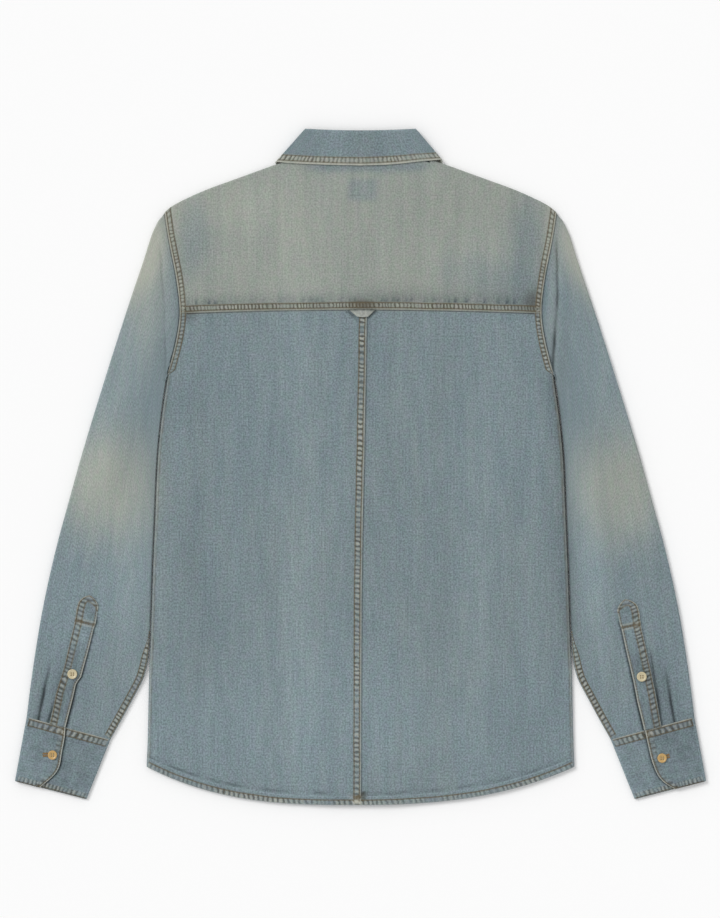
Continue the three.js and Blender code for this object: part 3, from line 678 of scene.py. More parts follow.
def mesh_of(bm: bmesh.types.BMesh, name: str) -> bpy.types.Mesh:
    """A new mesh with a bmesh's shape, which is then freed.

    Args:
        bm: the bmesh.
        name: the mesh's name.

    Returns:
        The mesh.
    """
    mesh = bpy.data.meshes.new(name)
    bm.to_mesh(mesh)
    bm.free()
    return mesh


def places_of(mesh: bpy.types.Mesh) -> Array:
    """A mesh's vertex places, one in each row.

    Args:
        mesh: the mesh to read.

    Returns:
        The places in metres.
    """
    place = np.empty(len(mesh.vertices) * 3)
    mesh.vertices.foreach_get("co", place)
    return place.reshape(-1, 3)


class ClothMaker:
    """Makes closed cloth shells from grids mapped onto the shirt."""

    def __init__(self, material: bpy.types.Material) -> None:
        """Keeps the denim that the shells are made of."""
        self.material = material

    def shell(self, name: str, columns: int, rows: int, shape: Callable[[Array, Array], Laid], wall: float,
              face: Face = Face.AS_MADE, ring: bool = False) -> bpy.types.Object:
        """Makes one shell of cloth.

        Args:
            name: the piece's name.
            columns: faces across the grid.
            rows: faces along it.
            shape: where each grid point lies, from its shares across and along.
            wall: thickness in millimetres, taken inwards.
            face: whether the grid's faces are turned over.
            ring: whether the last column joins the first.

        Returns:
            The finished piece.
        """
        bm = bmesh.new()
        bmesh.ops.create_grid(bm, x_segments=columns, y_segments=rows, size=1)
        mesh = mesh_of(bm, name)
        place = places_of(mesh)
        points = shape((place[:, 0] + 1) / 2, (1 - place[:, 1]) / 2)
        place = np.column_stack([points.x, points.y, points.z]) * MM
        mesh.vertices.foreach_set("co", place.ravel())
        corners = np.empty(len(mesh.loops), np.int32)
        mesh.loops.foreach_get("vertex_index", corners)
        layer = mesh.uv_layers.new(name="cloth")
        flat = np.column_stack([points.across, points.along]) / UV_UNIT
        layer.uv.foreach_set("vector", flat[corners].ravel())
        # This attribute holds the wash, with painted shade and shadow in its pale channel
        tone = mesh.color_attributes.new("wash", "FLOAT_COLOR", "POINT")
        washes_and_shades = np.column_stack([points.khaki, points.pale, points.worn, points.brown])
        tone.data.foreach_set("color", washes_and_shades.ravel())
        bm = bmesh.new()
        bm.from_mesh(mesh)
        if ring:
            bmesh.ops.remove_doubles(bm, verts=bm.verts, dist=1e-6)
        if face is Face.TURNED:
            bmesh.ops.reverse_faces(bm, faces=bm.faces)
        bm.to_mesh(mesh)
        bm.free()
        piece = placed(name, mesh)
        thick = piece.modifiers.new("wall", "SOLIDIFY")
        thick.thickness = wall * MM
        thick.offset = -1
        thick.use_rim = True
        bake_modifiers(piece)
        # Nothing lies below the table
        place = places_of(piece.data)
        place[:, 2] = np.maximum(place[:, 2], 0)
        piece.data.vertices.foreach_set("co", place.ravel())
        piece.data.materials.clear()
        piece.data.materials.append(self.material)
        return piece


def bake_modifiers(piece: bpy.types.Object) -> None:
    """Applies a piece's modifiers to its mesh and shades it smooth up to its sharp edges.

    Args:
        piece: the piece to change.
    """
    graph = bpy.context.evaluated_depsgraph_get()
    made = bpy.data.meshes.new_from_object(piece.evaluated_get(graph))
    piece.modifiers.clear()
    old = piece.data
    piece.data = made
    made.name = piece.name
    bpy.data.meshes.remove(old)
    made.shade_smooth()
    made.set_sharp_from_angle(angle=math.radians(48))


@dataclass(frozen=True)
class Cut:
    """The flat cut of a cloth piece: its width and length in millimetres and its area in square metres.

    Areas come from the pattern's outlines, with the parts turned under at seams left out.
    """

    name: str
    width: float
    length: float
    area: float
    rests_on: tuple[str, ...]
    held: str = "laid"
    carries: tuple[str, ...] = ()

    def declare(self) -> None:
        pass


def both_sides(name: str, width: float, length: float, area: float, rests_on: tuple[str, ...],
               held: str = "laid", carries: tuple[str, ...] = ()) -> list[Cut]:
    """The same cut for the left and the right; a star in a name stands for the side's word.

    Args:
        name: the pieces' name.
        width, length, area: as in a cut.
        rests_on, held, carries: as in a cut.

    Returns:
        The two cuts.
    """
    cuts = []
    for side in Side:
        words = lambda names: tuple(each.replace("*", side.word) for each in names)
        cuts.append(Cut(*words((name,)), width, length, area, words(rests_on), held, words(carries)))
    return cuts


def dress(piece: bpy.types.Object, slot: str, *nodes: str) -> bpy.types.Object:
    """Makes a piece ride on the shirt in place of its solids.

    Args:
        piece: the piece to dress.
        slot: the name of a material slot; not used.
        nodes: the solids that it replaces, if any.

    Returns:
        The piece.
    """
    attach(piece, "root")
    if nodes:
        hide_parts(*nodes)
    log.info("%s: %d faces", piece.name, len(piece.data.polygons))
    return piece


# Finishes

# What a shader input takes: another node's output, a number or a colour
Feed = bpy.types.NodeSocket | float | tuple[float, float, float]


def new_material(name: str, settings: dict[str, float | tuple]) -> tuple[bpy.types.Material, bpy.types.Node]:
    """Makes a material and gives it and its main shader, with some of the shader's inputs set.

    Args:
        name: the material's name.
        settings: values for inputs of its shader.

    Returns:
        The material and the shader.
    """
    made = bpy.data.materials.new(name)
    made.use_nodes = True
    shader = made.node_tree.nodes["Principled BSDF"]
    for key, value in settings.items():
        shader.inputs[key].default_value = value
    return made, shader


@dataclass(frozen=True)
class DenimFinish:
    """Washed denim: blue cloth that a wash has turned khaki and pale in places, and darkened by painted shade
    and shadow in others.
    """

    blue: tuple[float, float, float] = (0.179, 0.232, 0.254)
    khaki: tuple[float, float, float] = (0.300, 0.322, 0.284)
    rubbed: tuple[float, float, float] = (0.47, 0.46, 0.385)
    brown: tuple[float, float, float] = (0.125, 0.105, 0.068)
    roughness: float = 0.92

    def material(self) -> bpy.types.Material:
        """Builds the denim's nodes on the cloth's own coordinates.

        Returns:
            The material.
        """
        made, shader = new_material("washed_denim", {
            "Roughness": self.roughness, "Specular IOR Level": 0.18, "Sheen Weight": 0.12,
            "Sheen Roughness": 0.5})
        nodes, links = made.node_tree.nodes, made.node_tree.links
        uv = nodes.new("ShaderNodeUVMap")
        uv.uv_map = "cloth"
        # Reads the cloth's wash, with its painted shade and shadow
        tone = nodes.new("ShaderNodeAttribute")
        tone.attribute_name = "wash"
        channels = nodes.new("ShaderNodeSeparateColor")
        links.new(tone.outputs["Color"], channels.inputs["Color"])

        def noise(across: float, along: float, detail: float) -> bpy.types.NodeSocket:
            """Noise with cells of the given sizes in millimetres.

            Args:
                across, along: sizes of a cell along the weft and the warp.
                detail: how many finer layers it has.

            Returns:
                The noise's output.
            """
            mapping = nodes.new("ShaderNodeMapping")
            mapping.inputs["Scale"].default_value = (UV_UNIT / across, UV_UNIT / along, 1)
            links.new(uv.outputs["UV"], mapping.inputs["Vector"])
            texture = nodes.new("ShaderNodeTexNoise")
            texture.noise_dimensions = "2D"
            texture.inputs["Scale"].default_value = 1.0
            texture.inputs["Detail"].default_value = detail
            texture.inputs["Roughness"].default_value = 0.55
            links.new(mapping.outputs["Vector"], texture.inputs["Vector"])
            return texture.outputs["Fac"]

        def math_node(kind: str, a: Feed, b: Feed) -> bpy.types.NodeSocket:
            """One math node on sockets or numbers.

            Args:
                kind: the operation.
                a, b: what it works on.

            Returns:
                The node's output.
            """
            node = nodes.new("ShaderNodeMath")
            node.operation = kind
            for socket, value in zip(node.inputs, (a, b)):
                if isinstance(value, (int, float)):
                    socket.default_value = value
                else:
                    links.new(value, socket)
            return node.outputs["Value"]

        def times(a: Feed, b: Feed) -> bpy.types.NodeSocket:
            """The product of two sockets or numbers."""
            return math_node("MULTIPLY", a, b)

        def spread(value: bpy.types.NodeSocket, low: float, high: float) -> bpy.types.NodeSocket:
            """Stretches a noise's middle range to a factor from low to high.

            Args:
                value: the noise.
                low, high: the factor at its low and its high end.

            Returns:
                The factor's output.
            """
            node = nodes.new("ShaderNodeMapRange")
            node.inputs["From Min"].default_value = 0.3
            node.inputs["From Max"].default_value = 0.7
            node.inputs["To Min"].default_value = low
            node.inputs["To Max"].default_value = high
            links.new(value, node.inputs["Value"])
            return node.outputs["Result"]

        def blend(kind: str, factor: Feed, a: Feed, b: Feed) -> bpy.types.NodeSocket:
            """One colour mix on sockets or colours.

            Args:
                kind: how the colours mix.
                factor: how much of the second one.
                a, b: the two colours.

            Returns:
                The mixed colour's output.
            """
            node = nodes.new("ShaderNodeMix")
            node.data_type = "RGBA"
            node.blend_type = kind
            for socket, value in ((node.inputs[0], factor), (node.inputs[6], a), (node.inputs[7], b)):
                if isinstance(value, (int, float)):
                    socket.default_value = value
                elif isinstance(value, tuple):
                    socket.default_value = (*value, 1)
                else:
                    links.new(value, socket)
            return node.outputs[2]

        slub = noise(1.5, 70, 2)
        weft = noise(24, 1.5, 2)
        grain = noise(1.9, 2.1, 2)
        cloud = noise(12, 50, 3)
        tint = noise(8, 11, 2)
        khaki, pale, worn = (channels.outputs[word] for word in ("Red", "Green", "Blue"))
        patchy = math_node("ADD", khaki, times(math_node("SUBTRACT", cloud, 0.5), 0.2))
        body = blend("MIX", patchy, self.blue, self.khaki)
        cast = blend("MIX", spread(tint, 0, 1), (1.035, 0.985, 1.025), (0.965, 1.013, 0.972))
        body = blend("MULTIPLY", 1.0, body, cast)
        level = times(spread(slub, 0.93, 1.07), spread(grain, 0.75, 1.25))
        level = times(level, spread(weft, 0.95, 1.05))
        level = times(level, spread(cloud, 0.975, 1.025))
        # Khaki cloth shows less of the weave
        calm = times(math_node("SUBTRACT", 1.0, level), times(khaki, 0.4))
        level = math_node("ADD", level, calm)
        # Lightness from the pale channel: the wash and the painted shade
        wash_and_shade_level = math_node("MULTIPLY_ADD", pale, PALE_RANGE)
        wash_and_shade_level.node.inputs[2].default_value = 1 - PALE_RANGE / 2
        level = times(level, wash_and_shade_level)
        shade = nodes.new("ShaderNodeCombineColor")
        for channel in ("Red", "Green", "Blue"):
            links.new(level, shade.inputs[channel])
        toned = blend("MULTIPLY", 1.0, body, shade.outputs["Color"])
        rubbed = times(worn, spread(noise(1.6, 1.9, 2), 0.62, 1.1))
        colour = blend("MIX", rubbed, toned, self.rubbed)
        browned = times(tone.outputs["Alpha"], spread(grain, 0.75, 1.1))
        colour = blend("MIX", browned, colour, self.brown)
        links.new(colour, shader.inputs["Base Color"])
        bump = nodes.new("ShaderNodeBump")
        bump.inputs["Strength"].default_value = 0.35
        bump.inputs["Distance"].default_value = 0.0004
        height = math_node("ADD", grain, times(slub, 0.8))
        links.new(height, bump.inputs["Height"])
        links.new(bump.outputs["Normal"], shader.inputs["Normal"])
        return made


@dataclass(frozen=True)
class PlainFinish:
    """A single colour with a little gloss, for thread, button resin and the painted shade in button holes."""

    name: str
    colour: tuple[float, float, float]
    roughness: float
    mottle: float = 0.0

    def material(self) -> bpy.types.Material:
        """Builds the finish, mottled on the object's own coordinates if asked.

        Returns:
            The material.
        """
        made, shader = new_material(self.name, {"Roughness": self.roughness})
        nodes, links = made.node_tree.nodes, made.node_tree.links
        if not self.mottle:
            shader.inputs["Base Color"].default_value = (*self.colour, 1)
            return made
        place = nodes.new("ShaderNodeTexCoord")
        texture = nodes.new("ShaderNodeTexNoise")
        texture.inputs["Scale"].default_value = 420
        links.new(place.outputs["Object"], texture.inputs["Vector"])
        colours = nodes.new("ShaderNodeMix")
        colours.data_type = "RGBA"
        dark = tuple(channel * (1 - self.mottle) for channel in self.colour)
        colours.inputs[6].default_value = (*dark, 1)
        colours.inputs[7].default_value = (*self.colour, 1)
        links.new(texture.outputs["Fac"], colours.inputs[0])
        links.new(colours.outputs[2], shader.inputs["Base Color"])
        return made


# Body

@dataclass
class Back:
    """The two lower back panels."""

    cloth: ClothMaker
    length: float = 569.0
    column_size: float = 2.6
    row_size: float = 2.8

    def build(self) -> None:
        """Makes both panels."""
        for side in Side:
            piece = self.panel(side)
            dress(piece, "denim_body", f"back_{side.word}")

    def panel(self, side: Side) -> bpy.types.Object:
        """One panel, from the yoke seam to the hem and from the centre seam to the side.

        Args:
            side: which panel.

        Returns:
            The panel.
        """
        s = side.value

        def shape(u: Array, v: Array) -> Laid:
            """Places the panel's points.

            Args:
                u, v: shares across the grid and along it.

            Returns:
                The surface's points.
            """
            u = np.interp(u, [0, 0.88, 1], [0, 0.965, 1])
            y = mix(181.0, -388.0, v)
            x = s * u * HEM_HALF
            for _ in range(4):
                y = mix(Plan.yoke_seam_y(x) - GAP, Plan.hem_y(x), v)
                x = mix(Plan.centre_seam_x(y) + 0.15 * s, s * Plan.body_edge(y), u)
            from_edge = Plan.body_edge(y) - np.abs(x)
            in_armhole = ramp(UNDERARM_Y - 6, UNDERARM_Y + 8, y)
            top = Plan.body_top(x, y)
            z = mix(mix(FOLD_HEIGHT, top, rolled(from_edge, SIDE_ROLL)), top, in_armhole)
            below = Plan.yoke_seam_y(x) - y
            # Painted shadow just below the yoke seam's edge, then a darker stripe beside the centre seam
            dark = -0.03 * bell(below, 5) * (1 + 2 * FINE(x / 4, y / 12))
            dark = dark - 0.04 * bell(x - Plan.centre_seam_x(y), 10)
            above_hem = y - Plan.hem_y(x) - HEM_BAND
            # Just above the hem band: painted soft shadow in a broken line, then a paler line at the band's
            # edge
            dark = dark - 0.06 * bell(above_hem - 4, 4)
            broken = np.clip(0.7 + 0.9 * BROAD(x / 15 + 60, 4), 0.1, 1)
            dark = dark - 0.42 * broken * bell(above_hem - 3.4 - 0.8 * BROAD(x / 12, 70), 1.3)
            dark = dark + 0.13 * bell(above_hem - 0.6, 1.2)
            below_arm = 1 - in_armhole
            # Painted shadow along the side, where the sleeve lies beside the body
            gap_shade = 0.5 * bell(from_edge, 1.7) + 0.16 * bell(from_edge, 10)
            dark = dark - below_arm * beside_sleeve(side, y) * gap_shade
            side_row = below_arm * bell(from_edge - 3.4, 0.8) * (0.6 + 0.5 * ROPE(y / 4, 3 * s))
            side_rim = below_arm * bell(from_edge - 1.7, 0.8) * (0.8 + 0.3 * ROPE(y / 5, 7 * s))
            # Painted shadow along the creases
            dark = dark - sum(crease.shadow(x, y) for crease in BODY_CREASES)
            return laid(x, y, z, pale=dark - 0.2 * side_row, worn=0.4 * side_rim, brown=0.5 * side_row)

        columns, rows = int(HEM_HALF / self.column_size), int(self.length / self.row_size)
        face = Face.turned_if(side is Side.LEFT)
        return self.cloth.shell(f"back_{side.word}_cloth", columns, rows, shape, CLOTH, face)


@dataclass
class Yoke:
    """The yoke, over the back and round the folded shoulders."""

    cloth: ClothMaker
    # Columns from the armhole inwards: half width at the start, on the fold and at the seam, and the start
    table: tuple[tuple[float, float, float, float, float], ...] = (
        (0.00, 219.0, 225.0, 207.5, -YOKE_FLAP),
        (0.15, 187.0, 189.0, 172.0, -YOKE_FLAP),
        (0.32, 147.0, 151.0, 138.0, -YOKE_FLAP),
        (0.47, 108.0, 117.0, 106.0, -YOKE_FLAP),
        (0.57, 84.0, 103.0, 84.0, -YOKE_FLAP),
        (0.63, 70.6, 95.0, 70.0, -YOKE_FLAP),
        (0.68, 76.0, 89.0, 60.0, -20.0),
        (0.72, 78.4, 83.5, 50.0, -6.0),
        (0.77, 79.4, 79.4, 40.0, 6.4),
        (0.84, 55.0, 55.0, 27.0, 15.0),
        (0.92, 28.0, 28.0, 13.0, 24.6),
        (1.00, 0.0, 0.0, 0.0, 34.2),
    )

    def build(self) -> None:
        """Makes the yoke."""
        piece = self.cloth.shell("yoke_cloth", 190, 84, self.shape, CLOTH)
        dress(piece, "denim_faded", "back_yoke")

    def shape(self, u: Array, v: Array) -> Laid:
        """Places the yoke's points: u from left armhole to right, v from the front flap to the seam.

        Args:
            u, v: shares across the grid and along it.

        Returns:
            The surface's points.
        """
        table = np.array(self.table)
        side = np.sign(u - 0.5)
        c = 1 - np.abs(2 * u - 1)
        column = lambda k: np.interp(c, table[:, 0], table[:, k])
        start, fold, seam, first = column(1), column(2), column(3), column(4)
        last = Plan.shoulder_y(seam) - Plan.yoke_seam_y(seam) + 1.43
        # A quarter of the rows reach past the fold, most of them on its round
        past = np.where(v < 0.3, np.interp(v, [0, 0.08, 0.3], [0, 0.55, 1]), 0)
        round_end = np.maximum(6.0, first + 4)
        past = np.where(v < 0.3, mix(np.minimum(first, 6.0), round_end, past),
                        mix(round_end, last, (v - 0.3) / 0.7))
        front = np.clip((past - first) / np.where(first < 0, -first, 1), 0, 1)
        begin = np.maximum(0, first)
        back = np.clip((past - begin) / (last - begin), 0, 1)
        half = np.where(past < 0, mix(start, fold, front), mix(fold, seam, back))
        radius = BODY_HEIGHT / 2
        quarter = radius * math.pi / 2
        angle = np.clip(past, -quarter, quarter) / radius
        inward = radius * (1 - np.cos(angle)) + np.maximum(0, np.abs(past) - quarter)
        level = (1 + np.sin(angle)) / 2
        at_seam = v > 0.999
        y = Plan.shoulder_y(half) - inward
        # The outer columns follow the armhole
        follow = np.clip(1 - c / 0.15, 0, 1)
        edge_y = np.where(at_seam, Plan.yoke_seam_y(half), np.minimum(SHOULDER_TIP_Y, y))
        edge = Plan.armhole(edge_y)
        plain_edge = np.where(past < 0, mix(219.0, SHOULDER_HALF, front), mix(SHOULDER_HALF, SEAM_HALF, back))
        half = np.clip(half + (edge - plain_edge) * follow, 0, None)
        tip = Plan.shoulder_y(np.minimum(half, SHOULDER_HALF)) - inward
        y = np.where(at_seam, Plan.yoke_seam_y(half), tip)
        half = np.where(follow > 0.999, Plan.armhole(np.minimum(SHOULDER_TIP_Y, y)), half)
        x = side * half
        z = mix(Plan.wing_standoff(x, y), Plan.body_top(x, y), level)
        from_seam = y - Plan.yoke_seam_y(x)
        on_top = ramp(0.6, 1.0, level)
        pull = on_top * bell(from_seam - 13, 7) * FINE(x / 3.4, y / 13)
        uneven = np.interp(x, [-207, -198, -165, -150, -80, 0, 20, 125, 195, 207],
                           [0, 1, 0.8, 0.15, 0.25, 0.45, 0.9, 0.9, 0.7, 0])
        strokes = np.clip(FINE(x / 3.1 + 40, from_seam / 15) + 0.2 + 0.4 * BROAD(x / 13, 3), 0, 1)
        fringe = on_top * uneven * strokes * bell(from_seam - YOKE_BAND - 0.5, 4.2)
        near_seam = on_top * (0.14 * bell(from_seam - 12, 8)
                              + 0.08 * ramp(-10, 30, x) * bell(from_seam - 18, 12))
        ghost = ramp(21, 11, np.abs(x - 2)) * ramp(17, 8, np.abs(y - 318)) * on_top
        # Under the collar's edge the yoke is bluer, its own colour, and a little darker as painted shade
        under_collar = on_top * ramp(84, 50, np.abs(x - 8)) * bell(y - 343.5 - 0.0004 * x * x, 6)
        return laid(x, y, z + 0.12 * pull,
                    khaki=-0.42 * ghost - 0.55 * under_collar - 0.8 * fringe - 0.8 * near_seam,
                    pale=0.05 * pull - 0.03 * ghost - 0.07 * under_collar - 0.62 * fringe - near_seam)


@dataclass
class Fronts:
    """The two fronts and the buttonhole band, which lie under the back."""

    cloth: ClothMaker
    neck_half: float = 76.0

    def build(self) -> None:
        """Makes both fronts and the band."""
        for side in Side:
            piece = self.panel(side)
            dress(piece, "denim_body", f"front_{side.word}")
        band = self.cloth.shell("front_band_cloth", 14, 240, self.band, BAND_WALL, Face.TURNED)
        dress(band, "denim_trim", "front_placket")

    def top_y(self, half: Array) -> Array:
        """Height of a front's upper edge: the yoke's front seam, or the neckline inside it.

        Args:
            half: distance from the centre line.

        Returns:
            The heights in the plan.
        """
        seam = Plan.shoulder_y(half) - YOKE_FLAP + 1.43
        neck = 355 - 74 * np.sqrt(np.clip(1 - (half / self.neck_half) ** 2, 0, 1))
        return np.where(half < 69, np.minimum(neck, seam + 2), seam) - GAP - 0.6

    def panel(self, side: Side) -> bpy.types.Object:
        """One front; the right one steps up over the band.

        Args:
            side: which front.

        Returns:
            The front.
        """
        s = side.value
        inner = -FRONT_BAND_HALF + 2 if side is Side.RIGHT else FRONT_BAND_HALF + GAP

        def shape(u: Array, v: Array) -> Laid:
            """Places the front's points.

            Args:
                u, v: shares across the grid and along it.

            Returns:
                The surface's points.
            """
            half = mix(inner, 221.0, u)
            y = np.zeros_like(half)
            for _ in range(4):
                y = mix(self.top_y(np.abs(half)), Plan.hem_y(s * half) + 1, v)
                half = mix(inner, Plan.body_edge(y) - np.where(y > UNDERARM_Y, 1.0, 0.2), u)
            x = s * half
            step = BUTTON_STANDOFF + BAND_WALL + GAP if side is Side.RIGHT else BUTTON_STANDOFF
            centre = step * (1 - ramp(FRONT_BAND_HALF + 1, 64, half if side is Side.RIGHT else np.abs(half)))
            z = np.maximum(centre, Plan.wing_standoff(x, y) * ramp(12, 22, np.abs(half)))
            lift = np.clip(0.35 * BROAD(x / 30 + 60, y / 50), 0, 1) * ramp(0, 20, Plan.body_edge(y) - half)
            return laid(x, y, z + lift * ramp(40, 80, np.abs(half)))

        face = Face.turned_if(side is Side.RIGHT)
        return self.cloth.shell(f"front_{side.word}_cloth", 56, 130, shape, CLOTH, face)

    def band(self, u: Array, v: Array) -> Laid:
        """Places the buttonhole band's points.

        Args:
            u, v: shares across the grid and along it.

        Returns:
            The surface's points.
        """
        x = mix(-FRONT_BAND_HALF, FRONT_BAND_HALF, u)
        y = mix(280.7, -386.5, v)
        edge = np.minimum(u, 1 - u) * 2 * FRONT_BAND_HALF
        rope = 0.12 * bell(edge - 2, 2.2) * FINE(y / 3.2, x / 9)
        return laid(x, y, BUTTON_STANDOFF - np.abs(rope), worn=0.5 * bell(edge, 0.8), pale=-0.03)


@dataclass
class Collar:
    """The stand round the neck and the leaf folded over it."""

    cloth: ClothMaker
    leaf_half: Curve = field(default_factory=lambda: Curve(
        (3, 57), (30, 71), (60, 86), (84, 94.5), (87, 97.2), (90, 98), (93, 97.2), (96, 95), (120, 78),
        (150, 42), (180, 0)))
    leaf_y: Curve = field(default_factory=lambda: Curve(
        (3, 262), (30, 290), (60, 322), (84, 345), (87, 348.2), (90, 349.6), (93, 350.2), (96, 350),
        (120, 348.6), (150, 347), (180, 346)))
    leaf_z: Curve = field(default_factory=lambda: Curve((0, 6.4), (0.04, 7.7), (0.12, 8.4), (0.35, 8.1),
                                                        (0.7, 7.4), (1, 6.9)))
    sewn: SeamLook = SeamLook(rows=(2.7, 8.9), reach=(2.6, 9.2), period=4.8, slant=0.1, rim=0.9,
                              rim_width=1.2, light=0.62, dark=0.5, seed=71)
    # Where the neck's curves pass: half width, then y at the sides, in front and behind
    stand_foot: tuple[float, ...] = (74.0, 355, 281.3, 351)
    stand_top: tuple[float, ...] = (62.0, 383, 312, 382)
    roll_line: tuple[float, ...] = (63.5, 388.3, 314, 386.4)
    # How much higher the right wing's sewn edge lies than the left one's
    right_lift: float = 3.0
    # How much less far the right wing reaches at the fold
    right_inset: float = 3.8

    def build(self) -> None:
        """Makes the stand and the leaf."""
        stand = self.cloth.shell("collar_stand_cloth", 150, 12, self.stand, CLOTH, Face.TURNED)
        dress(stand, "denim_trim", "collar_stand")
        leaf = self.cloth.shell("collar_leaf_cloth", 330, 46, self.leaf, COLLAR_WALL)
        dress(leaf, "denim_trim", "collar_leaf")

    @staticmethod
    def round_neck(turn: Array, half: float, side_y: float, front_y: float,
                   back_y: float) -> tuple[Array, Array]:
        """A curve round the neck: an ellipse in front and a shallow arc behind.

        Args:
            turn: angle round the neck, from the middle of the front.
            half: half width at the sides.
            side_y, front_y, back_y: where it passes.

        Returns:
            The x and y there.
        """
        c = np.cos(turn)
        return half * np.sin(turn), np.where(c > 0, mix(side_y, front_y, c), mix(side_y, back_y, c * c))

    def stand(self, u: Array, v: Array) -> Laid:
        """Places the stand's points.

        Args:
            u, v: shares across the grid and along it.

        Returns:
            The surface's points.
        """
        degrees = np.interp(u, [0, 0.26, 0.32, 0.68, 0.74, 1], [-9, 80, 100, 260, 280, 369])
        turn = -np.radians(degrees)
        low_x, low_y = self.round_neck(turn, *self.stand_foot)
        high_x, high_y = self.round_neck(turn, *self.stand_top)
        x, y = mix(low_x, high_x, v), mix(low_y, high_y, v)
        lapped = np.where(degrees > 270, (CLOTH + GAP) * (1 - ramp(14, 34, x)), 0)
        front = BUTTON_STANDOFF - 0.4 * ramp(20, 60, np.abs(x)) + lapped
        level = (1 - np.clip(np.cos(turn) / 0.2, -1, 1)) / 2
        z = mix(front, BODY_HEIGHT, np.sin(level * math.pi / 2) ** 2)
        return laid(x, y, z, across=degrees * 1.2, along=v * 34)

    def leaf(self, u: Array, v: Array) -> Laid:
        """Places the leaf's points: u round the neck, v from the roll to the free edge.

        Args:
            u, v: shares across the grid and along it.

        Returns:
            The surface's points.
        """
        degrees = np.interp(u, [0, 0.16, 0.22, 0.78, 0.84, 1], [3, 82, 98, 262, 278, 357])
        turn = -np.radians(degrees)
        roll_x, roll_y = self.round_neck(turn, *self.roll_line)
        from_front = np.minimum(degrees, 360 - degrees)
        side = np.where(np.sin(turn) < 0, -1.0, 1.0)
        share = np.interp(v, [0, 0.16, 0.5, 1], [0, 0.08, 0.68, 1])
        edge_x = side * (self.leaf_half(from_front)
                         - self.right_inset * (side > 0) * bell(from_front - 90, 16))
        raised = self.right_lift * ramp(86, 94, from_front) * bell(edge_x - 80, 34)
        edge_y = self.leaf_y(from_front) + raised
        x = mix(roll_x, edge_x, share)
        y = mix(roll_y, edge_y, share)
        level = ramp(86, 94, from_front)
        on_top = ramp(90, 100, from_front)
        depth = np.hypot(roll_x - edge_x, roll_y - edge_y)
        from_edge = (1 - share) * np.minimum(depth, 42)
        along = np.where(from_front > 90, edge_x, side * (97 + (90 - from_front) * 1.35))
        rise, pale, khaki, worn, brown = self.sewn.at(along, from_edge)
        broad = 0.25 * on_top * ramp(0, 0.2, share) * BROAD(x / 24 + 80, y / 18)
        z = level * self.leaf_z(share) + on_top * (rise + broad)
        roll = 0.06 * bell(share * 40, 1.6)
        return laid(x, y, z, across=degrees * 1.15, along=share * 40,
                    khaki=khaki - mix(0.15, 0.78, ramp(6, 12, from_edge)), pale=pale + roll + 0.02,
                    worn=worn, brown=brown)


# Sleeves

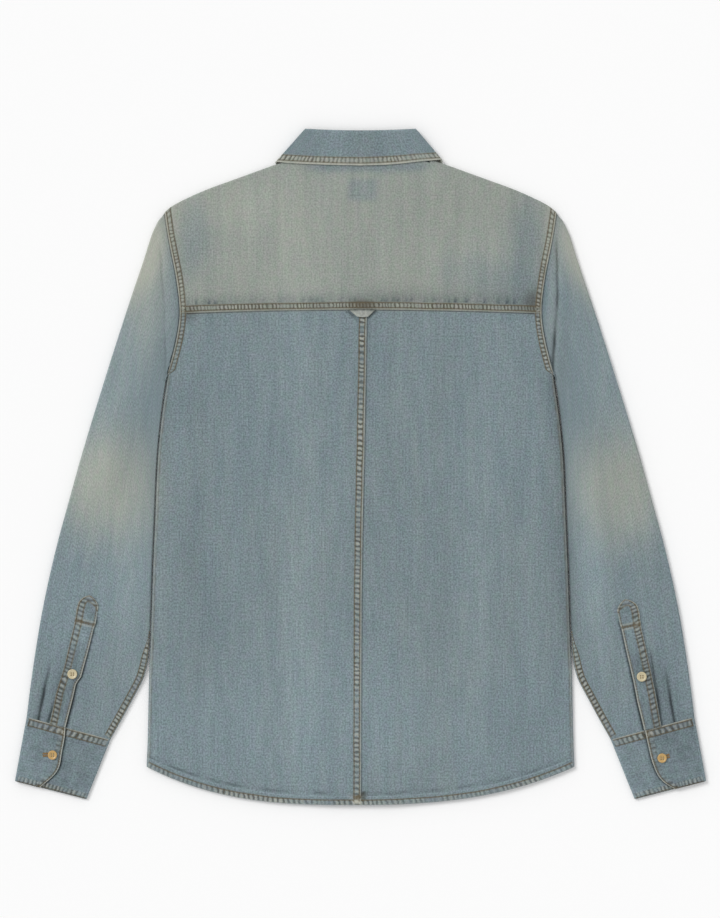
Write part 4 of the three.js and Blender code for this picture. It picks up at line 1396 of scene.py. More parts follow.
@dataclass
class Sleeves:
    """Two flattened tubes with a pointed placket and a lapped cuff on each."""

    cloth: ClothMaker
    placket_half: float = 9.8
    placket_sewn: SeamLook = SeamLook(
        rows=(1.5, 8.0), reach=(0.6, 8.8), period=5.2, slant=0.3, rim=0.4, light=0.5, dark=0.72, depth=0.25,
        seed=83)
    cuff_top_sewn: SeamLook = SeamLook(
        rows=(1.9, 9.2), reach=(1.9, 9.2), period=6.3, slant=0.15, rim=1.0, rim_width=0.8, light=0.46,
        dark=0.44, depth=0.3, seed=97)
    cuff_edge_sewn: SeamLook = SeamLook(
        rows=(1.0,), reach=(1.0, 6.8), period=5.0, slant=-0.2, rim=0.0, light=0.6, dark=0.5, depth=0.3,
        seed=113)
    flap_sewn: SeamLook = SeamLook(
        rows=(2.2,), reach=(1.8, 8.5), period=6.0, rim=0.95, rim_width=0.8, light=0.26, dark=0.62, depth=0.2,
        seed=131)

    def build(self) -> None:
        """Makes both sleeves with their plackets and cuffs."""
        parts = (("sleeve", self.tube, 118, 198, CLOTH, "denim_body"),
                 ("sleeve_placket", self.placket, 34, 150, CLOTH, "denim_trim"),
                 ("cuff", self.cuff, 266, 62, CUFF_WALL, "denim_trim"))
        for side in Side:
            for word, shape, columns, rows, wall, slot in parts:
                node = f"{word}_{side.word}"
                piece = self.cloth.shell(f"{node}_cloth", columns, rows, partial(shape, side), wall,
                                         Face.turned_if(side is Side.RIGHT), ring=word == "sleeve")
                dress(piece, slot, node)

    @staticmethod
    def tube(side: Side, u: Array, v: Array) -> Laid:
        """Places a sleeve's points: u round the tube from its outer fold over the top, v down it.

        Args:
            side: which sleeve.
            u, v: shares across the grid and along it.

        Returns:
            The surface's points.
        """
        _, _, width = Plan.sleeve_plan(np.zeros_like(u), v)
        radius = BODY_HEIGHT / 2
        angle = np.interp(u, [0, 0.035, 0.69, 0.75, 0.965, 1], [0, 90, 90, 270, 270, 360])
        flat_over = np.interp(u, [0.035, 0.69], [0, 1])
        flat_under = np.interp(u, [0.75, 0.965], [1, 0])
        flat = np.where(u < 0.72, flat_over, flat_under)
        near_inner = (u > 0.69) & (u < 0.75)
        bend = radius * (1 - np.abs(np.cos(np.radians(angle))))
        at_outer = (u <= 0.035) | (u >= 0.965)
        inward = np.where(at_outer, bend, mix(radius, width - radius, flat))
        inward = np.where(near_inner, width - bend, inward)
        level = (1 + np.sin(np.radians(angle))) / 2
        across = inward / width
        half, y, _ = Plan.sleeve_plan(across, v)
        half = half + 0.6 * (1 - ramp(0, 0.03, v))
        y = y - 3.4 * bell(inward, 3.5) * (1 - ramp(0, 0.02, v))
        x = side.value * half
        z = level * Plan.sleeve_top(side, x, y)
        on_top = ramp(0.7, 1.0, level)
        from_cuff = (1 - v) * SLEEVE_LENGTH
        gathers = 0.3 * bell(from_cuff, 16) * FINE(across * width / 6.5, v * 24 + 5)
        z = z + on_top * gathers * ramp(0, 3, from_cuff)
        from_inner = width - inward
        # Painted shadow along the inner fold, where the sleeve lies beside the body
        gap_shade = 0.5 * bell(from_inner, 1.6) + 0.18 * bell(from_inner, 9)
        pale = 0.05 * bell(inward, 3.0) - beside_sleeve(side, y) * gap_shade
        # Painted shadow along the sleeve's creases
        pale = pale - on_top * sum(crease.shadow(x, y) for crease in SLEEVE_CREASES[side])
        pale = pale - 0.07 * bell(from_cuff, 7) * (1 + 0.8 * FINE(across * width / 4, 8))
        pale = pale - 0.12 * bell(v * SLEEVE_LENGTH, 7)
        wrap = np.where(u < 0.72, across * width, 2 * width - across * width)
        return laid(x, y, z, across=side.value * wrap, along=-v * SLEEVE_LENGTH, pale=pale)

    def placket_line(self, side: Side) -> tuple[Array, Array]:
        """Foot and point of a placket's centre line.

        Args:
            side: which sleeve.

        Returns:
            The foot and the point.
        """
        if side is Side.LEFT:
            return np.array([-344.0, -294.0]), np.array([-310.5, -147.5])
        return np.array([334.0, -295.5]), np.array([303.5, -152.0])

    def placket_place(self, side: Side, off: Array, share: Array) -> tuple[Array, Array]:
        """A place on a placket: off its centre line in millimetres, and a share up its length.

        Args:
            side: which sleeve.
            off: distance from the centre line.
            share: share of the way from foot to point.

        Returns:
            The x and y there.
        """
        foot, point = self.placket_line(side)
        direction = (point - foot) / np.linalg.norm(point - foot)
        x = mix(foot[0], point[0], share) + off * direction[1]
        y = mix(foot[1], point[1], share) - off * direction[0]
        return x, y

    @staticmethod
    def placket_width(share: Array) -> Array:
        """A placket's half width as a share of its full one, narrowing to the point.

        Args:
            share: share of the way from foot to point.

        Returns:
            The share of the half width.
        """
        return np.interp(share, [0, 0.2, 0.4, 0.6, 0.93, 0.95, 0.975, 0.99, 1],
                         [0.86, 0.9, 0.95, 1, 0.99, 0.88, 0.62, 0.36, 0.08])

    def placket_reach(self, side: Side, share: Array, outer: bool) -> Array:
        """How far a placket reaches from its centre line, to the sleeve's outer fold or to its free edge.

        Args:
            side: which sleeve.
            share: share of the way from foot to point.
            outer: whether towards the sleeve's outer fold.

        Returns:
            The distances.
        """
        if outer:
            farther = (4.0, 4.2, 1.6, 1.2, 0.8, 1.8, 1.4, 0.2) if side is Side.LEFT else (
                2.2, 3.0, 2.8, 2.2, 2.0, 3.2, 2.6, 0.4)
            more = np.interp(share, [0, 0.22, 0.42, 0.6, 0.78, 0.88, 0.95, 1], farther)
        elif side is Side.LEFT:
            more = np.interp(share, [0, 0.22, 0.315, 0.345, 0.38, 0.58, 0.76, 0.8, 0.95, 1],
                             [-2.0, -1.6, -2.0, -0.5, 1.7, 2.5, 3.0, 4.0, 2.8, 0.4])
        else:
            more = np.interp(share, [0, 0.2, 0.36, 0.78, 0.82, 0.92, 1],
                             [1.2, 1.7, 0.9, 1.3, 2.0, 2.0, 0.3])
        return self.placket_half * self.placket_width(share) + more

    def placket(self, side: Side, u: Array, v: Array) -> Laid:
        """Places a placket's points.

        Args:
            side: which sleeve.
            u, v: shares across the grid and along it.

        Returns:
            The surface's points.
        """
        share = mix(1, -0.023 if side is Side.LEFT else -0.03, v)
        outer_half, inner_half = (self.placket_reach(side, share, outer) for outer in (True, False))
        inner = -side.value
        # Past its inner edge the strip goes on as a shadow on the sleeve
        across = np.interp(u, [0, 0.84, 0.87, 1], [-1, 1, 1, 1])
        off = inner * mix(-outer_half, inner_half, (across + 1) / 2)
        beyond = np.interp(u, [0, 0.84, 0.87, 1], [0, 0, 0.15, 3.6])
        x, y = self.placket_place(side, off + inner * beyond, share)
        to_outer, to_inner = outer_half + inner * off, inner_half - inner * off
        on_strip = beyond <= STRIP_EDGE
        along = share * STRIP_LENGTH
        to_tip = (1 - share) * STRIP_LENGTH + 1.2
        rounded = np.interp(np.abs(off), [0, 5, 9, 12], [0, 1.6, 4.2, 8.4])
        nearest = np.minimum(to_outer, np.maximum(0, to_tip - rounded))
        rise, pale, khaki, worn, brown = self.placket_sewn.at(along + 40 * side.value, nearest)
        tip = ramp(0.83, 0.86, share)
        rim = bell(to_inner - 0.5, 0.75) * (beyond <= 0) * (0.88 + 0.16 * ROPE(along / 9, 3))
        bar = np.exp(-(((along - STRIP_BAR) / 1.5) ** 4))
        beside_bar = bell(np.abs(along - STRIP_BAR) - 2.7, 0.9)
        outline = bell(nearest - 0.5, 0.7) * tip
        reach = mix(1.7, 1.0, share)
        shadow = bell(beyond - 0.7, reach) * (1 - tip) * mix(1.15, 0.7, share)
        inner_row = 0.4 * bell(to_inner - 2.4, 0.7) * (beyond <= 0)
        level = np.where(on_strip, PLACKET_RISE + (1 - tip * 0.5) * rise, 0.08)
        z = Plan.sleeve_top(side, x, y) + level
        mottle = 0.11 * FINE(off / 2.6, along / 4.2 + 7 * side.value) + 0.09 * BROAD(off / 7 + 3, along / 11)
        pale = pale - 0.2 * bar - 0.1 * inner_row - 0.04 + mottle
        worn = worn + (0.95 - 0.3 * tip) * rim + 0.5 * outline + 0.4 * beside_bar
        brown = brown + 0.75 * bar + inner_row
        return laid(x, y, z, across=off, along=along, pale=np.where(on_strip, pale, -0.78 * shadow),
                    khaki=khaki * on_strip - 0.15, worn=worn * on_strip, brown=brown * on_strip)

    @staticmethod
    def cuff_place(across: Array, down: Array) -> tuple[Array, Array]:
        """A place in a cuff's flat shape: half width and y at shares across and down.

        Args:
            across: share from the outer fold to the inner one.
            down: share of the depth.

        Returns:
            The half width and y there.
        """
        half = mix(mix(383.5, 287.5, across), mix(397.0, 315.0, across), down)
        y = mix(mix(-287.0, -313.0, across), mix(-360.5, -381.5, across), down)
        return half, y

    @staticmethod
    def flap_edge(side: Side) -> Curve:
        """The free edge of a cuff's upper flap: share across at each share of its depth.

        Args:
            side: which cuff.

        Returns:
            The curve of that edge.
        """
        if side is Side.LEFT:
            return Curve((0, 0.466), (0.17, 0.49), (0.37, 0.505), (0.62, 0.524), (0.76, 0.49), (1, 0.355))
        return Curve((0, 0.592), (0.3, 0.614), (0.52, 0.622), (0.74, 0.602), (0.88, 0.54), (1, 0.44))

    def cuff(self, side: Side, u: Array, v: Array) -> Laid:
        """Places a cuff's points: u from its hidden end round to the flap's free edge, v down its depth.

        Args:
            side: which cuff.
            u, v: shares across the grid and along it.

        Returns:
            The surface's points.
        """
        width = CUFF_WIDTH
        high, low = SLEEVE_END_HEIGHT / 2, CUFF_LOW_HEIGHT / 2
        v = np.interp(v, *CUFF_ROWS)
        edge = self.flap_edge(side)(v)
        # Stretches: hidden layer, inner bend, underside, outer bend, upper flap
        a = np.interp(u, [0, 0.26, 0.31, 0.62, 0.67, 1], [0, 1, 2, 3, 4, 5])
        t = a - np.floor(np.minimum(a, 4.999))
        t = np.where(a >= 5, 1, t)
        bend = np.radians(mix(90, -90, t))
        hidden = mix(0.28, 1 - low / width, t)
        inner = 1 - low * (1 - np.cos(bend)) / width
        under = mix(1 - low / width, high / width, t)
        outer = high * (1 - np.cos(bend)) / width
        upper = mix(high / width, edge, t)
        stretch = [a < 1, a < 2, a < 3, a < 4]
        across = np.select(stretch, [hidden, inner, under, outer], upper)
        z = np.select(stretch,
                      [CUFF_LOW_HEIGHT + 0 * t, low * (1 + np.sin(bend)), 0 * t, high * (1 - np.sin(bend))],
                      SLEEVE_END_HEIGHT + 0 * t)
        half, y = self.cuff_place(across, v)
        x = side.value * half
        on_flap, hidden_end = a >= 4, a < 1
        on_top = hidden_end | on_flap
        from_bottom, from_top = (1 - v) * CUFF_DEPTH, v * CUFF_DEPTH
        place = across * width
        from_edge = (edge - across) * width
        top = self.cuff_top_sewn.at(place + 300 * hidden_end, from_top)
        bottom = self.cuff_edge_sewn.at(place + 300 * hidden_end + 40, from_bottom)
        flap = [np.where(on_flap, part, 0) for part in self.flap_sewn.at(from_top, from_edge)]
        calm = np.where(on_flap, ramp(0.0, 2.4, from_edge), 1)
        rise, pale, khaki, worn, brown = ((t + b) * calm + f for t, b, f in zip(top, bottom, flap))
        z = z + np.where(on_top, rise + 0.12 * BROAD(x / 14, y / 14), 0)
        dark_edge = -0.34 * bell(from_bottom, 1.5) * calm
        # Painted shadow cast by the upper flap's free edge on the layer under it
        flap_shadow = hidden_end * bell(from_edge, 2.0)
        mottle = 0.09 * FINE(place / 3.4 + 9, from_top / 4.4) + 0.08 * BROAD(place / 8, from_top / 10 + 3)
        pale = np.where(on_top, pale + mottle, 0.1 * ROPE(place / 2.6, from_top / 3)) + dark_edge
        pale = pale - 0.72 * flap_shadow
        worn, brown = np.where(on_top, worn, 0), np.where(on_top, brown, 0)
        corner = bell(from_edge - 3.5, 5) * bell(from_top - 5.6, 2.4)
        worn = worn + 0.5 * corner * on_flap
        tone = np.where(on_flap, *((0.07, 0.03) if side is Side.LEFT else (0.0, 0.12)))
        return laid(x, y, z, across=from_top, along=place, pale=pale + tone, khaki=khaki - 0.34, worn=worn,
                    brown=brown)


# Seams and stitches

@dataclass(frozen=True)
class SeamBand:
    """A raised band along a felled seam or a hem.

    Attributes:
        name: the piece's name.
        points: its folded edge, from one end to the other.
        width: how far it reaches in from the edge.
        surface: height of the cloth that it is sewn to.
        look: its rows and puckers.
        turn: 1 where the band lies to the left of the edge's direction, -1 to the right.
        lift: its rise over the cloth.
        step: distance from one row of its mesh to the next.
        taper: the length over which it comes out from under a fold at its start.
        shear: how far its start leans back, per millimetre of its width.
        tail: the length over which it narrows at its end.
        far_shade: how much darker its far edge is; less than nothing is paler.
        tone: how much paler the whole band is; less than nothing is darker.
        wall: its thickness.
        column_size: distance from one column of its mesh to the next.
    """

    name: str
    points: Array
    width: float
    surface: Callable[[Array, Array], Array]
    look: SeamLook
    turn: int = 1
    lift: float = 0.55
    step: float = 0.9
    taper: float = 0.0
    shear: float = 0.0
    tail: float = 0.0
    far_shade: float = 0.16
    tone: float = 0.0
    wall: float = 0.45
    column_size: float = 0.62

    def grown(self, along: Array) -> Array:
        """The share of its full width that shows at a distance along its edge.

        Args:
            along: distance along the edge.

        Returns:
            The share there.
        """
        share = 0.06 + 0.94 * ramp(0, self.taper, along) if self.taper else np.ones_like(along)
        if self.tail:
            share = share * (0.2 + 0.8 * ramp(np.max(along) + 0.3, np.max(along) - self.tail, along))
        return share

    def lean(self, along: Array, off: Array) -> Array:
        """How far back along its edge a point lies, near its start."""
        return self.shear * off * (1 - ramp(0, 16, along))

    def path(self, off: float = 0.0) -> tuple[Array, Array, Array]:
        """Points at a distance in from the edge, unit normals there, and distances along the edge.

        Args:
            off: distance in from the edge.

        Returns:
            The points, the normals and the distances.
        """
        distance = np.concatenate([[0], np.cumsum(np.hypot(*np.diff(self.points, axis=0).T))])
        at = np.linspace(0, distance[-1], max(3, int(distance[-1] / self.step) + 1))
        line = np.column_stack([np.interp(at, distance, self.points[:, k]) for k in (0, 1)])
        tangent = np.gradient(line, axis=0)
        tangent /= np.linalg.norm(tangent, axis=1)[:, None]
        normal = np.column_stack([-tangent[:, 1], tangent[:, 0]]) * self.turn
        back = np.column_stack([-normal[:, 1], normal[:, 0]]) * self.turn
        off = off * self.grown(at)
        return line + normal * off[:, None] + back * self.lean(at, off)[:, None], normal, at

    def height(self, x: Array, y: Array, off: Array, rise: Array) -> Array:
        """Height of the band's outer face at a place, off the edge, with its puckers' rise.

        Args:
            x, y: places in the plan.
            off: distance in from the edge.
            rise: how high the puckers stand.

        Returns:
            The heights over the surface.
        """
        level = np.interp(off, [-0.25, 0.3, self.width - 0.9, self.width],
                          [0.07, self.lift, self.lift, -0.15])
        return self.surface(x, y) + level + np.where(off > 0.2, rise, 0)

    def strip(self, cloth: ClothMaker) -> bpy.types.Object:
        """Makes the band.

        Args:
            cloth: what makes its shell.

        Returns:
            The band.
        """
        line, normal, at = self.path()
        # A band with a gutter reaches 1.7 mm past its folded edge to carry the painted shadow there
        first = -1.7 if self.look.gutter else 0.0

        def shape(u: Array, v: Array) -> Laid:
            """Places the band's points: u off the folded edge, v along it.

            Args:
                u, v: shares across the grid and along it.

            Returns:
                The surface's points.
            """
            along = v * at[-1]
            off = mix(first, self.width, u)
            pick = lambda source, k: np.interp(along, at, source[:, k])
            reach = off * self.grown(along)
            lean = self.lean(along, reach) * self.turn
            x = pick(line, 0) + pick(normal, 0) * reach - pick(normal, 1) * lean
            y = pick(line, 1) + pick(normal, 1) * reach + pick(normal, 0) * lean
            rise, pale, khaki, worn, brown = self.look.at(along, off)
            far = bell(self.width - off, 0.8 if self.far_shade > 0 else 1.6)
            return laid(x, y, self.height(x, y, off, rise), across=off, along=along + 90 * self.look.seed,
                        pale=pale - self.far_shade * far + self.tone, khaki=khaki, worn=worn, brown=brown)

        columns = round((self.width - first) / self.column_size)
        piece = cloth.shell(self.name, columns, len(at) - 1, shape, self.wall, Face.turned_if(self.turn < 0))
        return dress(piece, "denim_trim")

    def rows(self) -> list[Array]:
        """The rows of stitches, as points on the band.

        Returns:
            One list of points for each row.
        """
        found = []
        for row in self.look.rows:
            line, normal, at = self.path(row)
            off = row + 0.3 * ROPE(at / 26 + self.look.seed, 6)
            line = line + normal * (off - row)[:, None]
            rise = self.look.at(at, off)[0]
            found.append(np.column_stack([line, self.height(line[:, 0], line[:, 1], off, rise)]))
        return found


@dataclass
class Sewing:
    """All felled seams and hems, and every row of stitches on the upper side."""

    cloth: ClothMaker
    sleeves: Sleeves
    thread: bpy.types.Material
    pitch: float = 3.1
    length: float = 2.5
    width: float = 0.8
    felled: SeamLook = SeamLook(rows=(1.7, 6.6), reach=(1.7, 6.6), gutter=0.7, light=0.5, dark=0.55)

    def bands(self) -> list[SeamBand]:
        """The raised bands, each from its folded edge.

        Returns:
            The bands in the order of building.
        """
        xs = np.linspace(-206.8, 206.8, 160)
        look = SeamLook(rows=(1.9, 7.6), reach=(1.9, 7.6), period=4.1, gutter=0.55, seed=3, rim=0.45,
                        slant=0.1, light=0.34, dark=0.85)
        found = [SeamBand("yoke_seam", np.column_stack([xs, Plan.yoke_seam_y(xs)]), YOKE_BAND + 0.4,
                          Plan.body_top, look, tone=-0.13)]
        ys = np.linspace(179.5, -387.4, 200)
        look = SeamLook(rows=(2.0, 8.2), reach=(2.2, 8.4), period=5.8, gutter=0.6, seed=17, rim=0.6,
                        slant=0.1, dark=0.62, light=0.66, rim_width=0.8)
        found.append(SeamBand("centre_seam", np.column_stack([Plan.centre_seam_x(ys), ys]), CENTRE_BAND + 0.4,
                              Plan.body_top, look, turn=-1, lift=0.85))
        for side in Side:
            ys = np.linspace(SHOULDER_TIP_Y - 1.5, UNDERARM_Y + 1, 120)
            edge = np.column_stack([side.value * (Plan.armhole(ys) - 0.1), ys])
            look = replace(self.felled, period=4.4, seed=29 + 5 * side.value, rows=(1.7, 6.5), rim=0.8,
                           gutter=0.9, light=0.42)
            found.append(SeamBand(f"armhole_seam_{side.word}", edge, ARMHOLE_BAND, self.at_armhole(side),
                                  look, turn=-side.value, shear=0.75, tail=9))
            ys = np.linspace(-188, -311.5, 70)
            edge = np.column_stack([side.value * (Plan.sleeve_inner(ys) + 0.5), ys])
            look = replace(self.felled, gutter=0, rim=0.2, light=0.52, dark=0.85, seed=61 + side.value,
                           period=5.0, rows=(1.3, 7.2), reach=(0.6, 7.4))
            found.append(SeamBand(f"sleeve_seam_{side.word}", edge, SLEEVE_BAND, self.on_sleeve(side), look,
                                  turn=side.value, lift=0.45, taper=36))
        xs = np.linspace(-245.4, 245.4, 240)
        look = SeamLook(rows=(5.8,), reach=(0.3, 5.8), period=6.0, slant=0.2, rim=0.25, light=0.42, dark=0.42,
                        depth=0.3, seed=41)
        found.append(SeamBand("hem", np.column_stack([xs, Plan.hem_y(xs) + 0.1]), HEM_BAND + 1.2, self.at_hem,
                              look, far_shade=-0.2))
        return found

    @staticmethod
    def at_hem(x: Array, y: Array) -> Array:
        """The back's height near the hem, rolled down at the sides as the panels are."""
        return mix(FOLD_HEIGHT, Plan.body_top(x, y), rolled(HEM_HALF - np.abs(x), SIDE_ROLL))

    @staticmethod
    def at_armhole(side: Side) -> Callable[[Array, Array], Array]:
        """The height on both sides of an armhole: the body's inside it, the sleeve's outside."""
        return lambda x, y: np.where(
            np.abs(x) > Plan.armhole(y), Plan.sleeve_top(side, x, y), Plan.body_top(x, y))

    @staticmethod
    def on_sleeve(side: Side) -> Callable[[Array, Array], Array]:
        """The height of a sleeve beside its inner fold.

        Args:
            side: which sleeve.

        Returns:
            A function of the plan's x and y.
        """
        def height(x: Array, y: Array) -> Array:
            """The sleeve's height, rounded off at its inner fold.

            Args:
                x, y: places in the plan.

            Returns:
                The heights over the surface.
            """
            share = rolled(np.abs(x) - Plan.sleeve_inner(y), BODY_HEIGHT / 2)
            return Plan.sleeve_top(side, x, y) * (0.5 + 0.5 * share)
        return height

    def build(self) -> None:
        """Makes the bands and sews every row."""
        bm = bmesh.new()
        rows = []
        for band in self.bands():
            band.strip(self.cloth)
            rows += band.rows()
        count = sum(self.sew(bm, row) for row in rows + self.trim_rows())
        dress(mesh_piece(bm, "stitches", self.thread), "denim_trim")
        log.info("stitches sewn: %d", count)

    def sew(self, bm: bmesh.types.BMesh, row: Array) -> int:
        """Adds a row's stitches to a mesh.

        Args:
            bm: the mesh that all the rows share.
            row: points of the row.

        Returns:
            How many stitches were sewn.
        """
        distance = np.concatenate([[0], np.cumsum(np.linalg.norm(np.diff(row[:, :2], axis=0), axis=1))])
        count = int(distance[-1] / self.pitch)
        at = (np.arange(count) + 0.5) * self.pitch
        place = np.column_stack([np.interp(at, distance, row[:, k]) for k in range(3)])
        ahead = np.column_stack([np.interp(at + 0.8, distance, row[:, k]) for k in range(3)])
        size = (self.length / 2, self.width / 2, self.width * 0.4)
        for here, there in zip(place, ahead):
            turn = Vector(there - here).to_track_quat("X", "Z").to_matrix().to_4x4()
            lift = Matrix.Translation(Vector(here) + Vector((0, 0, 0.16)))
            ball(bm, lift @ turn, size)
        return count

    def trim_rows(self) -> list[Array]:
        """Rows on the plackets and the cuffs.

        Returns:
            One list of points for each row.
        """
        rows = []
        sleeves = self.sleeves
        for side in Side:
            surface = lambda x, y, s=side: Plan.sleeve_top(s, x, y) + PLACKET_RISE
            share = np.concatenate([np.linspace(0.01, 0.92, 60), [0.962, 0.985]])
            for sign in (-1, 1):
                outer = sign == side.value
                inset = sleeves.placket_reach(side, share, outer) - (1.5 if outer else 2.0)
                x, y = sleeves.placket_place(side, sign * np.maximum(inset, 0.2), share)
                rows.append(np.column_stack([x, y, surface(x, y)]))
            for at in (0.785, 0.795):
                x, y = sleeves.placket_place(side, np.linspace(-8.4, 8.4, 12), np.full(12, at))
                rows.append(np.column_stack([x, y, surface(x, y)]))
            edge = sleeves.flap_edge(side)
            for depth in sleeves.cuff_top_sewn.rows:
                down = depth / CUFF_DEPTH
                rows.append(self.cuff_row(side, 0.04, float(edge(down)) - 0.03, down, SLEEVE_END_HEIGHT))
                rows.append(self.cuff_row(side, float(edge(down)) + 0.03, 0.96, down, CUFF_LOW_HEIGHT))
            down = np.linspace(0.02, 0.98, 40)
            half, y = Sleeves.cuff_place(edge(down) - 1.7 / CUFF_WIDTH, down)
            rows.append(np.column_stack([side.value * half, y, np.full(40, SLEEVE_END_HEIGHT)]))
        return rows

    @staticmethod
    def cuff_row(side: Side, begin: float, end: float, down: float, level: float) -> Array:
        """A row across a cuff at a share of its depth.

        Args:
            side: which cuff.
            begin, end: shares across it where the row starts and stops.
            down: share of its depth.
            level: height over the surface.

        Returns:
            The row's points.
        """
        half, y = Sleeves.cuff_place(np.linspace(begin, end, 30), np.full(30, down))
        return np.column_stack([side.value * half, y, np.full(30, level)])


def ball(bm: bmesh.types.BMesh, place: Matrix, size: tuple[float, float, float], cuts: int = 1) -> None:
    """Adds a small stretched ball to a mesh.

    Args:
        bm: the mesh.
        place: where it lies, in millimetres.
        size: its half sizes in millimetres.
        cuts: how finely it is divided.
    """
    bmesh.ops.create_icosphere(bm, subdivisions=cuts, radius=1,
                               matrix=Matrix.Scale(MM, 4) @ place @ Matrix.Diagonal((*size, 1)))


def mesh_piece(bm: bmesh.types.BMesh, name: str, material: bpy.types.Material) -> bpy.types.Object:
    """Turns a bmesh into a smooth piece with one material.

    Args:
        bm: the bmesh, which is freed.
        name: the piece's name.
        material: its material.

    Returns:
        The piece.
    """
    bmesh.ops.recalc_face_normals(bm, faces=bm.faces)
    mesh = mesh_of(bm, name)
    mesh.shade_smooth()
    mesh.set_sharp_from_angle(angle=math.radians(50))
    mesh.materials.append(material)
    return placed(name, mesh)


@dataclass(frozen=True)
class Button:
    """A four-hole shirt button with a raised rim."""

    node: str
    x: float
    y: float
    base: float
    width: float = 11.4
    facing: int = 1
    thick: float = 1.9

    def build(self, resin: bpy.types.Material, dark: bpy.types.Material, thread: bpy.types.Material) -> None:
        """Makes the button, dark discs painted as the shade in its holes, and its thread.

        Args:
            resin: the button's material.
            dark: the material of the discs painted as the shade in the holes.
            thread: the thread's material.
        """
        name = f"{self.node}_resin"
        radius = self.width / 2
        profile = ((0.0, 0.0), (0.86, 0.0), (0.97, 0.22), (1.0, 0.5), (0.97, 0.86), (0.9, 1.0), (0.8, 1.0),
                   (0.7, 0.9), (0.6, 0.72), (0.3, 0.68), (0.0, 0.68))
        bm = bmesh.new()
        verts = [bm.verts.new((r * radius * MM, 0, z * self.thick * MM)) for r, z in profile]
        edges = [bm.edges.new(pair) for pair in zip(verts, verts[1:])]
        bmesh.ops.spin(bm, geom=verts + edges, cent=(0, 0, 0), axis=(0, 0, 1), angle=math.tau, steps=40,
                       use_merge=True)
        bmesh.ops.remove_doubles(bm, verts=bm.verts, dist=1e-6)
        place = Matrix.Translation((self.x * MM, self.y * MM, self.base * MM))
        if self.facing < 0:
            place = place @ Matrix.Rotation(math.pi, 4, "X")
        bmesh.ops.transform(bm, matrix=place, verts=bm.verts)
        dress(mesh_piece(bm, name, resin), "button_resin", self.node)
        # The holes are flat dark discs: painted shade, not cut openings
        holes, cotton = bmesh.new(), bmesh.new()
        level = self.thick * 0.69
        spread = self.width * 0.115
        for sx in (-1, 1):
            for sy in (-1, 1):
                spot = Matrix.Translation((sx * spread * MM, sy * spread * MM, level * MM))
                bmesh.ops.create_cone(holes, cap_ends=True, segments=12, radius1=0.8 * MM, radius2=0.8 * MM,
                                      depth=0.12 * MM, matrix=place @ spot)
            bar = Matrix.Translation((sx * spread * MM, 0, (level + 0.2) * MM))
            size = Matrix.Diagonal((0.42 * MM, (spread + 0.5) * MM, 0.3 * MM, 1))
            bmesh.ops.create_icosphere(cotton, subdivisions=2, radius=1, matrix=place @ bar @ size)
        for bm_part, word, material in ((holes, "holes", dark), (cotton, "thread", thread)):
            dress(mesh_piece(bm_part, f"{name}_{word}", material), "button_resin")


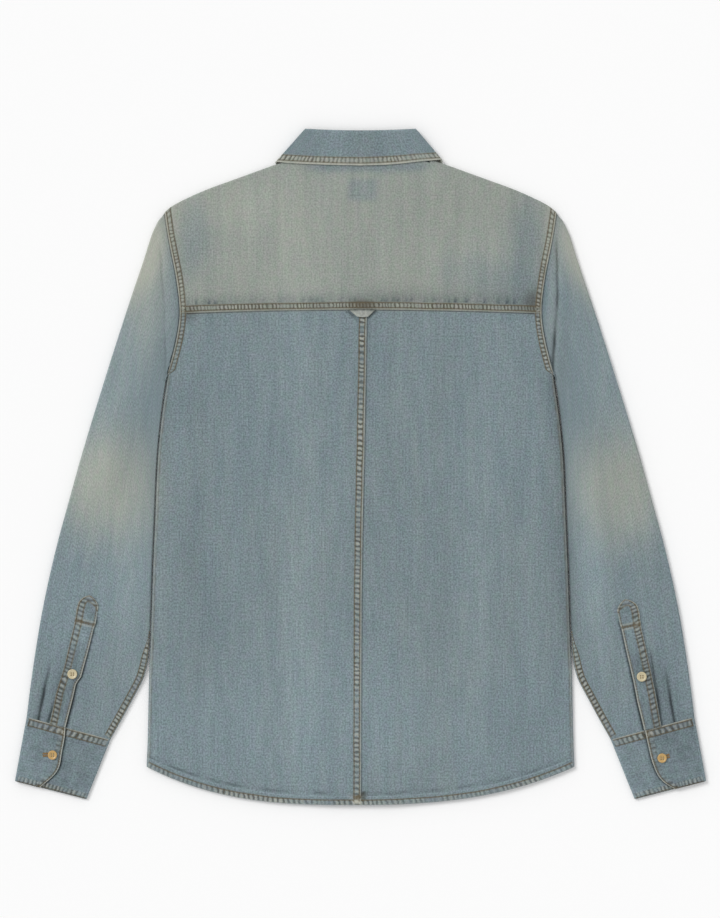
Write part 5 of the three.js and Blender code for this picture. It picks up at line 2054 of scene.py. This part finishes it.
@dataclass
class Trimmings:
    """Buttons, buttonholes and the hanger loop."""

    cloth: ClothMaker
    resin: bpy.types.Material
    amber: bpy.types.Material
    dark: bpy.types.Material
    thread: bpy.types.Material
    hole_thread: bpy.types.Material
    cuff_width: float = 10.8
    front_count: int = 7
    front_first_y: float = 235.0
    front_pitch: float = 83.0
    # The front's buttons face down, and this is where their backs lie
    front_base: float = 1.9
    collar_y: float = 296.5

    def build(self) -> None:
        """Makes every button, the buttonholes and the loop."""
        for button in self.buttons():
            resin = self.amber if button.node.startswith("cuff") else self.resin
            button.build(resin, self.dark, self.thread)
        self.loop()
        self.buttonholes()

    def buttons(self) -> list[Button]:
        """Every button, each named after the solid that it replaces.

        Returns:
            The buttons in the order of building.
        """
        found = []
        for side, x, y in ((Side.LEFT, -330.5, -237.5), (Side.RIGHT, 322.5, -240.5)):
            rest = float(Plan.sleeve_top(side, np.array([x]), np.array([y]))[0]) + PLACKET_RISE + GAP
            found.append(Button(f"placket_button_{side.word}", x, y, rest))
        for side, x, y in ((Side.LEFT, -353.5, -330.5), (Side.RIGHT, 346.0, -334.0)):
            found.append(Button(f"cuff_button_{side.word}", x, y, SLEEVE_END_HEIGHT + GAP, self.cuff_width))
        for i in range(self.front_count):
            y = self.front_first_y - i * self.front_pitch
            found.append(Button(f"front_button_{i + 1}", 0, y, self.front_base, facing=-1))
        return [*found, Button("collar_button", 0, self.collar_y, self.front_base, facing=-1)]

    def loop(self) -> None:
        """The hanger loop under the yoke seam."""
        def shape(u: Array, v: Array) -> Laid:
            """Places the loop's points: u from end to end, v across its width.

            Args:
                u, v: shares across the grid and along it.

            Returns:
                The surface's points.
            """
            arch = np.sin(math.pi * u)
            x = mix(mix(-13.5, -4.0, v), mix(17.0, 8.9, v), u)
            y = mix(180.6, 172.5, v) - 0.7 * arch * v
            z = Plan.body_top(x, y) + 0.4 + GAP + CLOTH + 1.0 * arch
            # Painted shadow where the loop goes under the yoke's edge, and painted shade at its slanting ends
            yoke_edge_shadow = bell(v * 8, 1.5)
            fold = bell((v - 0.55) * 8, 1.6) * ramp(0.2, 0.5, u) * ramp(0.8, 0.6, u)
            ends = bell(u, 0.05) + bell(1 - u, 0.05)
            speckle = 0.2 * FINE(x / 2.0, y / 2.2)
            return laid(x, y, z, across=v * 6, along=u * 34, khaki=0.3 + 0.4 * fold,
                        pale=0.1 - 0.7 * yoke_edge_shadow - 0.25 * ends - 0.08 * fold + speckle,
                        worn=0.5 * (1 - yoke_edge_shadow) * (1 - 0.5 * fold) + 0.6 * speckle)

        piece = self.cloth.shell("hanger_loop_cloth", 48, 14, shape, CLOTH)
        dress(piece, "denim_trim", "hanger_loop")

    def buttonholes(self) -> None:
        """Sewn slits beside the cuff buttons."""
        bm = bmesh.new()
        for x, y, turn in ((-358.6, -330.0, 0.05), (348.8, -332.6, 0.2)):
            for k in range(-6, 7):
                for side in (-1, 1):
                    along = k * 0.95
                    middle = Matrix.Translation((x, y, SLEEVE_END_HEIGHT + 0.12))
                    place = middle @ Matrix.Rotation(turn, 4, "Z")
                    spot = Matrix.Translation((along, side * 1.35, 0))
                    ball(bm, place @ spot, (0.5, 1.4, 0.3))
        dress(mesh_piece(bm, "cuff_buttonholes", self.hole_thread), "denim_trim")


# Studio

@dataclass(frozen=True)
class Studio:
    """A pale floor, soft light and a camera straight above the shirt."""

    lens: float = 100.0
    sensor: float = 36.0
    view_height: float = 1.0557
    centre: tuple[float, float] = (-0.0006, 0.0092)
    floor_height: float = -0.0006
    room_strength: float = 0.715
    sun_strength: float = 1.35
    sun_width: float = 24.0
    sun_place: tuple[float, float, float] = (-1.9, 1.5, 2.4)

    def camera(self) -> None:
        """Sets the camera over the middle of the photograph's frame."""
        data = bpy.data.cameras.new("camera")
        data.lens = self.lens
        data.sensor_width = self.sensor
        data.sensor_fit = "AUTO"
        height = self.view_height * self.lens / self.sensor
        camera = placed("camera", data)
        camera.location = (*self.centre, height)
        bpy.context.scene.camera = camera

    def floor(self) -> None:
        """Lays the pale floor."""
        bm = bmesh.new()
        bmesh.ops.create_grid(bm, x_segments=1, y_segments=1, size=6)
        bmesh.ops.translate(bm, verts=bm.verts, vec=(0, 0, self.floor_height))
        floor = placed(TABLE, mesh_of(bm, TABLE))
        made, _ = new_material("pale_floor", {
            "Base Color": (0.953, 0.953, 0.953, 1), "Roughness": 0.9, "Specular IOR Level": 0.1})
        floor.data.materials.append(made)

    def lights(self) -> None:
        """Shines one soft even light from up and to the left, and lights the room evenly."""
        world = bpy.data.worlds.new("studio")
        world.use_nodes = True
        background = world.node_tree.nodes["Background"]
        background.inputs["Color"].default_value = (1, 1, 1, 1)
        background.inputs["Strength"].default_value = self.room_strength
        bpy.context.scene.world = world
        data = bpy.data.lights.new("key", "SUN")
        data.energy = self.sun_strength
        data.angle = math.radians(self.sun_width)
        key = placed("key", data)
        key.location = self.sun_place
        key.rotation_mode = "QUATERNION"
        key.rotation_quaternion = (-key.location).to_track_quat("-Z", "Y")

    def build(self) -> None:
        """Makes the camera, the floor and the lights."""
        self.camera()
        self.floor()
        self.lights()
        bpy.context.scene.view_settings.view_transform = "Standard"


CUTS = (
    *both_sides("front_*_cloth", 262, 712, 0.144, rests_on=(TABLE,)),
    Cut("front_band_cloth", 32, 668, 0.0213, ("front_right_cloth",)),
    Cut("back_left_cloth", 256, 572, 0.1286, ("front_left_cloth",), carries=("hem", "centre_seam")),
    Cut("back_right_cloth", 256, 572, 0.1286, ("front_right_cloth",)),
    Cut("yoke_cloth", 462, 212, 0.0778, ("front_left_cloth", "front_right_cloth"), "folded",
        ("yoke_seam", "armhole_seam_left", "armhole_seam_right", "stitches")),
    Cut("collar_stand_cloth", 404, 32, 0.0117, ("yoke_cloth",), "folded"),
    Cut("collar_leaf_cloth", 400, 62, 0.0165, ("yoke_cloth", "collar_stand_cloth"), "folded"),
    *both_sides("sleeve_*_cloth", 384, 520, 0.1029, rests_on=(TABLE,), carries=("sleeve_seam_*",)),
    *both_sides("sleeve_placket_*_cloth", 24, 152, 0.0033, rests_on=("sleeve_*_cloth",)),
    *both_sides("cuff_*_cloth", 238, 76, 0.0179, rests_on=(TABLE,), held="folded"),
    Cut("hanger_loop_cloth", 34, 10, 0.00018, ("back_left_cloth", "back_right_cloth")),
)


def main() -> None:
    """Builds the shirt's pieces in order."""
    logging.basicConfig(level=logging.INFO, format="%(name)s: %(message)s")
    Studio().build()
    denim = DenimFinish().material()
    cotton = PlainFinish("seam_thread", (0.135, 0.108, 0.065), 0.8).material()
    button_cotton = PlainFinish("button_thread", (0.36, 0.28, 0.16), 0.8).material()
    hole_cotton = PlainFinish("buttonhole_thread", (0.25, 0.15, 0.052), 0.8).material()
    resin = PlainFinish("pale_resin", (0.64, 0.56, 0.36), 0.32, 0.3).material()
    amber = PlainFinish("amber_resin", (0.60, 0.385, 0.14), 0.3, 0.3).material()
    # Dark discs painted as the shade in the buttons' holes
    dark = PlainFinish("button_hole_dark", (0.16, 0.12, 0.06), 0.8).material()
    cloth = ClothMaker(denim)
    sleeves = Sleeves(cloth)
    Fronts(cloth).build()
    Back(cloth).build()
    Yoke(cloth).build()
    Collar(cloth).build()
    sleeves.build()
    Sewing(cloth, sleeves, cotton).build()
    Trimmings(cloth, resin, amber, dark, button_cotton, hole_cotton).build()
    for cut in CUTS:
        cut.declare()


if __name__ == "__main__":
    main()
